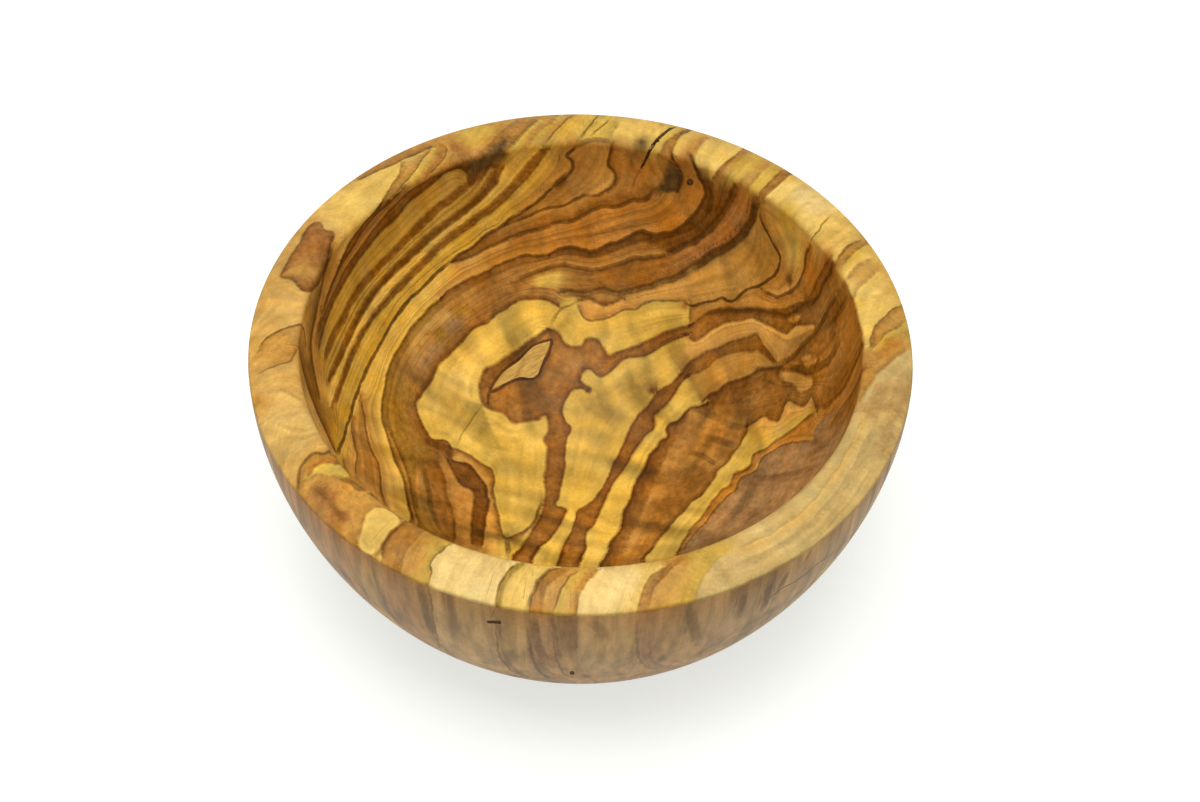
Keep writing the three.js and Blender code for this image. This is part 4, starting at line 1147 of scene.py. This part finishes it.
for number in range(len(slots)):
    offset = put(tree, "ShaderNodeAttribute", {"attribute_name": f"streak_{number}_offset"})
    step = put(tree, "ShaderNodeAttribute", {"attribute_name": f"streak_{number}_step"})
    style = put(tree, "ShaderNodeAttribute", {"attribute_name": f"streak_{number}_style"})
    parts = put(tree, "ShaderNodeSeparateXYZ", Vector=(style, "Vector"))
    moved = put(tree, "ShaderNodeMath", {"operation": "ADD"}, i0=(offset, "Fac"), i1=(wobble, 0))
    softened = put(tree, "ShaderNodeMapRange", {"interpolation_type": "SMOOTHSTEP"}, Value=(offset, "Fac"),
                   From_Min=-STEP_REACH, From_Max=STEP_REACH)
    low = put(tree, "ShaderNodeMath", {"operation": "MULTIPLY"}, i0=(parts, 2), i1=-1.0)
    sharp = put(tree, "ShaderNodeMapRange", {"interpolation_type": "SMOOTHSTEP"}, Value=(moved, 0),
                From_Min=(low, 0), From_Max=(parts, 2))
    change = put(tree, "ShaderNodeMath", {"operation": "SUBTRACT"}, i0=(sharp, 0), i1=(softened, 0))
    scaled = put(tree, "ShaderNodeVectorMath", {"operation": "SCALE"}, Vector=(step, "Vector"),
                 Scale=(change, 0))
    summed = put(tree, "ShaderNodeVectorMath", {"operation": "ADD"}, i0=colour_from, i1=(scaled, 0))
    colour_from = (summed, 0)
    away = put(tree, "ShaderNodeMath", {"operation": "ABSOLUTE"}, i0=(moved, 0))
    core = put(tree, "ShaderNodeMath", {"operation": "MULTIPLY"}, i0=(parts, 1), i1=LINE_CORE)
    line = put(tree, "ShaderNodeMapRange", {"interpolation_type": "SMOOTHSTEP"}, Value=(away, 0),
               From_Min=(parts, 1), From_Max=(core, 0), To_Max=(parts, 0))
    darkest = put(tree, "ShaderNodeMath", {"operation": "MAXIMUM"}, i0=darkness_from, i1=(line, 0))
    darkness_from = (darkest, 0)
at_least = put(tree, "ShaderNodeVectorMath", {"operation": "MAXIMUM"}, i0=colour_from,
               i1=linear(DARKEST_TONE))
at_most = put(tree, "ShaderNodeVectorMath", {"operation": "MINIMUM"}, i0=(at_least, 0),
              i1=linear(PALEST_TONE))
lined = put(tree, "ShaderNodeMix", {"data_type": "RGBA"}, i0=darkness_from, i6=(at_most, 0),
            i7=(*linear(LINE_TONE), 1))
fibre_value = put(tree, "ShaderNodeAttribute", {"attribute_name": "wood_fibre"})
fibre_shade = put(tree, "ShaderNodeMapRange", {"clamp": False}, Value=(fibre_value, "Fac"), From_Min=-1,
                  From_Max=1, To_Min=1 - FIBRE_SHADE, To_Max=1 + FIBRE_SHADE)
growth_value = put(tree, "ShaderNodeAttribute", {"attribute_name": "wood_growth"})
drift_noise = put(tree, "ShaderNodeTexNoise", Vector=(coords, "Object"), Scale=1 / (DRIFT_SIZE_MM * MM),
                  Detail=1.0)
drift = put(tree, "ShaderNodeMath", {"operation": "MULTIPLY_ADD"}, i0=(growth_value, "Fac"),
            i1=FINE_LINES_PER_LAYER, i2=(drift_noise, 0))
fine_lines = put(tree, "ShaderNodeTexNoise", {"noise_dimensions": "1D"}, W=(drift, 0), Scale=1.0,
                 Detail=3.0, Roughness=0.65)
fine_spread = put(tree, "ShaderNodeMapRange", Value=(fine_lines, 0), From_Min=FINE_LINE_SPAN[0],
                  From_Max=FINE_LINE_SPAN[1], To_Min=-FINE_LINE_SHADE, To_Max=FINE_LINE_PALER)
fine_here = put(tree, "ShaderNodeAttribute", {"attribute_name": "wood_fine"})
fine_shade = put(tree, "ShaderNodeMath", {"operation": "MULTIPLY_ADD"}, i0=(fine_spread, 0),
                 i1=(fine_here, "Fac"), i2=1.0)
mottle_noise = put(tree, "ShaderNodeTexNoise", Vector=(coords, "Object"), Scale=1 / (MOTTLE_SIZE_MM * MM),
                   Detail=4.0, Roughness=0.6)
mottle_spread = put(tree, "ShaderNodeMapRange", Value=(mottle_noise, 0), From_Min=NOISE_SPAN[0],
                    From_Max=NOISE_SPAN[1], To_Min=MOTTLE_LOW, To_Max=MOTTLE_HIGH)
tone_grey = put(tree, "ShaderNodeRGBToBW", Color=(lined, 2))
mottle_depth = put(tree, "ShaderNodeMapRange", Value=(tone_grey, 0), From_Min=MOTTLED_GREYS[0],
                   From_Max=MOTTLED_GREYS[1], To_Min=DARK_MOTTLE, To_Max=PALE_MOTTLE)
mottle_shade = put(tree, "ShaderNodeMath", {"operation": "MULTIPLY_ADD"}, i0=(mottle_spread, 0),
                   i1=(mottle_depth, 0), i2=1.0)
ripple_value = put(tree, "ShaderNodeAttribute", {"attribute_name": "wood_ripple"})
ripple_shade = put(tree, "ShaderNodeMapRange", Value=(ripple_value, "Fac"), From_Min=-RIPPLE_SPAN,
                   From_Max=RIPPLE_SPAN, To_Min=1 - RIPPLE_SPAN * RIPPLE_SHADE,
                   To_Max=1 + RIPPLE_SPAN * RIPPLE_SHADE)
grain_noise = put(tree, "ShaderNodeTexNoise", Vector=(coords, "Object"), Scale=1 / (GRAIN_SIZE_MM * MM),
                  Detail=3.0)
grain_shade = put(tree, "ShaderNodeMapRange", {"clamp": False}, Value=(grain_noise, 0),
                  To_Min=1 - 2 * GRAIN_SHADE, To_Max=1 + 2 * GRAIN_SHADE)
streak_place = put(tree, "ShaderNodeMapping", {"vector_type": "TEXTURE"}, Vector=(coords, "Object"),
                   Scale=tuple(size * MM for size in BELLY_STREAK_MM))
streak_noise = put(tree, "ShaderNodeTexNoise", Vector=(streak_place, 0), Scale=1.0, Detail=3.0,
                   Roughness=0.6)
streak_spread = put(tree, "ShaderNodeMapRange", Value=(streak_noise, 0), From_Min=BELLY_STREAK_SPAN[0],
                    From_Max=BELLY_STREAK_SPAN[1], To_Min=-BELLY_STREAK_SHADE, To_Max=BELLY_STREAK_PALER)
below_here = put(tree, "ShaderNodeAttribute", {"attribute_name": "wood_below"})
streak_shade = put(tree, "ShaderNodeMath", {"operation": "MULTIPLY_ADD"}, i0=(streak_spread, 0),
                   i1=(below_here, "Fac"), i2=1.0)
all_shade = fibre_shade
for shade in (grain_shade, streak_shade, fine_shade, mottle_shade, ripple_shade):
    all_shade = put(tree, "ShaderNodeMath", {"operation": "MULTIPLY"}, i0=(all_shade, 0), i1=(shade, 0))
shaded = put(tree, "ShaderNodeVectorMath", {"operation": "SCALE"}, Vector=(lined, 2), Scale=(all_shade, 0))
hue_noise = put(tree, "ShaderNodeTexNoise", Vector=(coords, "Object"), Scale=1 / (HUE_DRIFT_MM * MM),
                Detail=2.0)
hue = put(tree, "ShaderNodeMapRange", Value=(hue_noise, 0), From_Min=NOISE_SPAN[0], From_Max=NOISE_SPAN[1],
          To_Min=MIDDLE_HUE - HUE_DRIFT, To_Max=MIDDLE_HUE + HUE_DRIFT)
strength = put(tree, "ShaderNodeMapRange", Value=(hue_noise, 0), From_Min=NOISE_SPAN[0],
               From_Max=NOISE_SPAN[1], To_Min=1 + STRENGTH_DRIFT, To_Max=1 - STRENGTH_DRIFT)
drifted = put(tree, "ShaderNodeHueSaturation", Hue=(hue, 0), Saturation=(strength, 0), Color=(shaded, 0))
sheen = put(tree, "ShaderNodeMapRange", Value=(mottle_noise, 0), From_Min=NOISE_SPAN[0],
            From_Max=NOISE_SPAN[1], To_Min=SMOOTH_ROUGHNESS, To_Max=WORN_ROUGHNESS)
pores = put(tree, "ShaderNodeBump", Strength=PORE_STRENGTH, Distance=PORE_DEPTH_MM * MM,
            Height=(grain_noise, 0))
finish = put(tree, "ShaderNodeBsdfPrincipled", Base_Color=(drifted, 0), Roughness=(sheen, 0), IOR=OIL_IOR,
             Specular_IOR_Level=OIL_SHINE, Normal=(pores, 0))
put(tree, "ShaderNodeOutputMaterial", Surface=(finish, 0))
bowl.data.materials.append(olive_wood)
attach(bowl, "root")
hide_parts("bowl_body")


# The encased knot on the inner wall. It is a branch's stub that the trunk grew round: pale wood in a dark
# seam of bark, cut through at a slant by the turner and sanded flush with the wall.
KNOT_OUTLINE = [
    (491.7, 390), (503, 373), (520, 360), (533, 347), (547, 342), (550, 343), (542, 363), (537, 375),
    (530, 378), (520, 377), (507, 382)]
INLAY_PROUD_MM, INLAY_DEPTH_MM, INLAY_STEP_MM, INLAY_CUTS = 0.04, 0.5, 0.3, 3


def inlay(name, outline):
    """A thin body let into the wood: its top follows the bowl within an outline of frame pixels."""
    points, side = seen_at(outline)
    rim = spaced(smooth_walk(np.concatenate([points, points[:1]]), False), INLAY_STEP_MM)[:-1]
    rim_places, rim_facing = surface_at(rim, side)
    bpy.ops.object.select_all(action="DESELECT")
    bpy.ops.mesh.primitive_circle_add(vertices=len(rim), radius=MM, fill_type="NGON")
    piece = bpy.context.object
    piece.name = name
    piece.data.vertices.foreach_set("co", (rim_places * MM).ravel())
    piece.data.update()
    turned_over = np.dot(np.array(piece.data.polygons[0].normal), rim_facing.mean(0)) < 0
    bpy.ops.object.mode_set(mode="EDIT")
    bpy.ops.mesh.select_all(action="SELECT")
    if turned_over:
        bpy.ops.mesh.flip_normals()
    bpy.ops.mesh.quads_convert_to_tris()
    bpy.ops.mesh.subdivide(number_cuts=INLAY_CUTS)
    bpy.ops.object.mode_set(mode="OBJECT")
    wrap = piece.modifiers.new("laid on the wood", "SHRINKWRAP")
    wrap.target = bowl
    wrap.wrap_method = "NEAREST_SURFACEPOINT"
    wrap.wrap_mode = "ABOVE_SURFACE"
    wrap.offset = INLAY_PROUD_MM * MM
    bpy.ops.object.modifier_apply(modifier=wrap.name)
    body = piece.modifiers.new("let into the wood", "SOLIDIFY")
    body.thickness = INLAY_DEPTH_MM * MM
    body.offset = -1.0
    bpy.ops.object.modifier_apply(modifier=body.name)
    bpy.ops.object.shade_smooth_by_angle(angle=SMOOTH_ANGLE)
    return piece


knot = inlay("pale_knot", KNOT_OUTLINE)

# Pale knot wood: straw-coloured, with short fibres along the knot and brown stains.
KNOT_PALE, KNOT_STAIN, KNOT_STAIN_SPAN = "D2AA56", "A07634", (0.35, 0.75)
KNOT_TURN, KNOT_FIBRE_MM, KNOT_ROUGHNESS = math.radians(44), (3.0, 0.4, 0.4), 0.45
knot_wood, tree = new_material("pale knot wood")
coords = put(tree, "ShaderNodeTexCoord")
laid = put(tree, "ShaderNodeMapping", {"vector_type": "TEXTURE"}, Vector=(coords, "Object"),
           Rotation=(0, 0, KNOT_TURN), Scale=tuple(size * MM for size in KNOT_FIBRE_MM))
fibres = put(tree, "ShaderNodeTexNoise", Vector=(laid, 0), Scale=1.0, Detail=3.0)
stain_share = put(tree, "ShaderNodeMapRange", Value=(fibres, 0), From_Min=KNOT_STAIN_SPAN[0],
                  From_Max=KNOT_STAIN_SPAN[1])
stained = put(tree, "ShaderNodeMix", {"data_type": "RGBA"}, i0=(stain_share, 0), i6=(*linear(KNOT_PALE), 1),
              i7=(*linear(KNOT_STAIN), 1))
finish = put(tree, "ShaderNodeBsdfPrincipled", Base_Color=(stained, 2), Roughness=KNOT_ROUGHNESS,
             IOR=OIL_IOR, Specular_IOR_Level=OIL_SHINE)
put(tree, "ShaderNodeOutputMaterial", Surface=(finish, 0))
knot.data.materials.append(knot_wood)
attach(knot, "root")
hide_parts("floor_knot")


# The fill of the drying check. The wood split at the far part of the lip as it dried. Dark dried resin and
# dust fill the split, from the lip's crown down to the wall, and are sanded flush.
CHECK_OUTLINE = [
    (676, 125.6), (669.5, 128), (664.3, 131.8), (659, 136), (655, 140), (651.7, 145), (648.7, 149.5),
    (645.6, 156.5), (642.6, 162.6), (640.4, 168), (641.6, 168.6), (645.2, 163.6), (648.2, 157.6),
    (651.4, 150.8), (654.3, 146.8), (657.2, 142), (661.2, 138), (665.9, 134), (670.6, 130), (676.6, 127.2)]
check = inlay("check_fill", CHECK_OUTLINE)
DUST_SPAN, DUST_IOR = (0.35, 0.65), 1.5


def dark_grain(name, dark, less_dark, size_mm, roughness):
    """A dark material whose two tones lie in fine grains."""
    material, tree = new_material(name)
    coords = put(tree, "ShaderNodeTexCoord")
    grains = put(tree, "ShaderNodeTexNoise", Vector=(coords, "Object"), Scale=1 / (size_mm * MM),
                 Detail=3.0)
    share = put(tree, "ShaderNodeMapRange", Value=(grains, 0), From_Min=DUST_SPAN[0], From_Max=DUST_SPAN[1])
    mixed = put(tree, "ShaderNodeMix", {"data_type": "RGBA"}, i0=(share, 0), i6=(*linear(dark), 1),
                i7=(*linear(less_dark), 1))
    finish = put(tree, "ShaderNodeBsdfPrincipled", Base_Color=(mixed, 2), Roughness=roughness, IOR=DUST_IOR,
                 Specular_IOR_Level=OIL_SHINE)
    put(tree, "ShaderNodeOutputMaterial", Surface=(finish, 0))
    return material


# Dried resin: nearly black brown, with a slight shine.
RESIN_TONES, RESIN_GRAIN_MM, RESIN_ROUGHNESS = ("2E1A0A", "5A3816"), 0.6, 0.4
check.data.materials.append(dark_grain("dried resin", *RESIN_TONES, RESIN_GRAIN_MM, RESIN_ROUGHNESS))
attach(check, "root")
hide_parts("rim_check_fill")


# The pin knots and the fleck. Each is a bit of bark that the wood grew over: one pin knot high on the inner
# wall, one low on the belly, and a short fleck of bark outside under the lip, all sanded flush.
BARK_OUTLINES = {
    "inner_pin_knot": [
        (686.6, 182), (688, 179.4), (691, 178.8), (693.4, 181), (693, 184), (690.5, 185.4), (687.6, 184.6)],
    "outer_pin_knot": [
        (569.4, 672.6), (571.2, 671), (573.7, 671.5), (574.6, 673.3), (573, 674.8), (570.4, 674.5)],
    "outer_bark_fleck": [
        (487, 621), (492, 620.6), (497, 620.8), (500.4, 620.6), (501.2, 622.2), (500.6, 624), (497, 623.4),
        (492, 623.2), (487.6, 623)]}
# Bark: dull dark brown, in fine grains.
BARK_TONES, BARK_GRAIN_MM, BARK_ROUGHNESS = ("442A16", "6E4C2C"), 0.4, 0.7
bark = dark_grain("dry bark", *BARK_TONES, BARK_GRAIN_MM, BARK_ROUGHNESS)
for node, outline in BARK_OUTLINES.items():
    fleck = inlay("bark_" + node, outline)
    fleck.data.materials.append(bark)
    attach(fleck, "root")
    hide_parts(node)
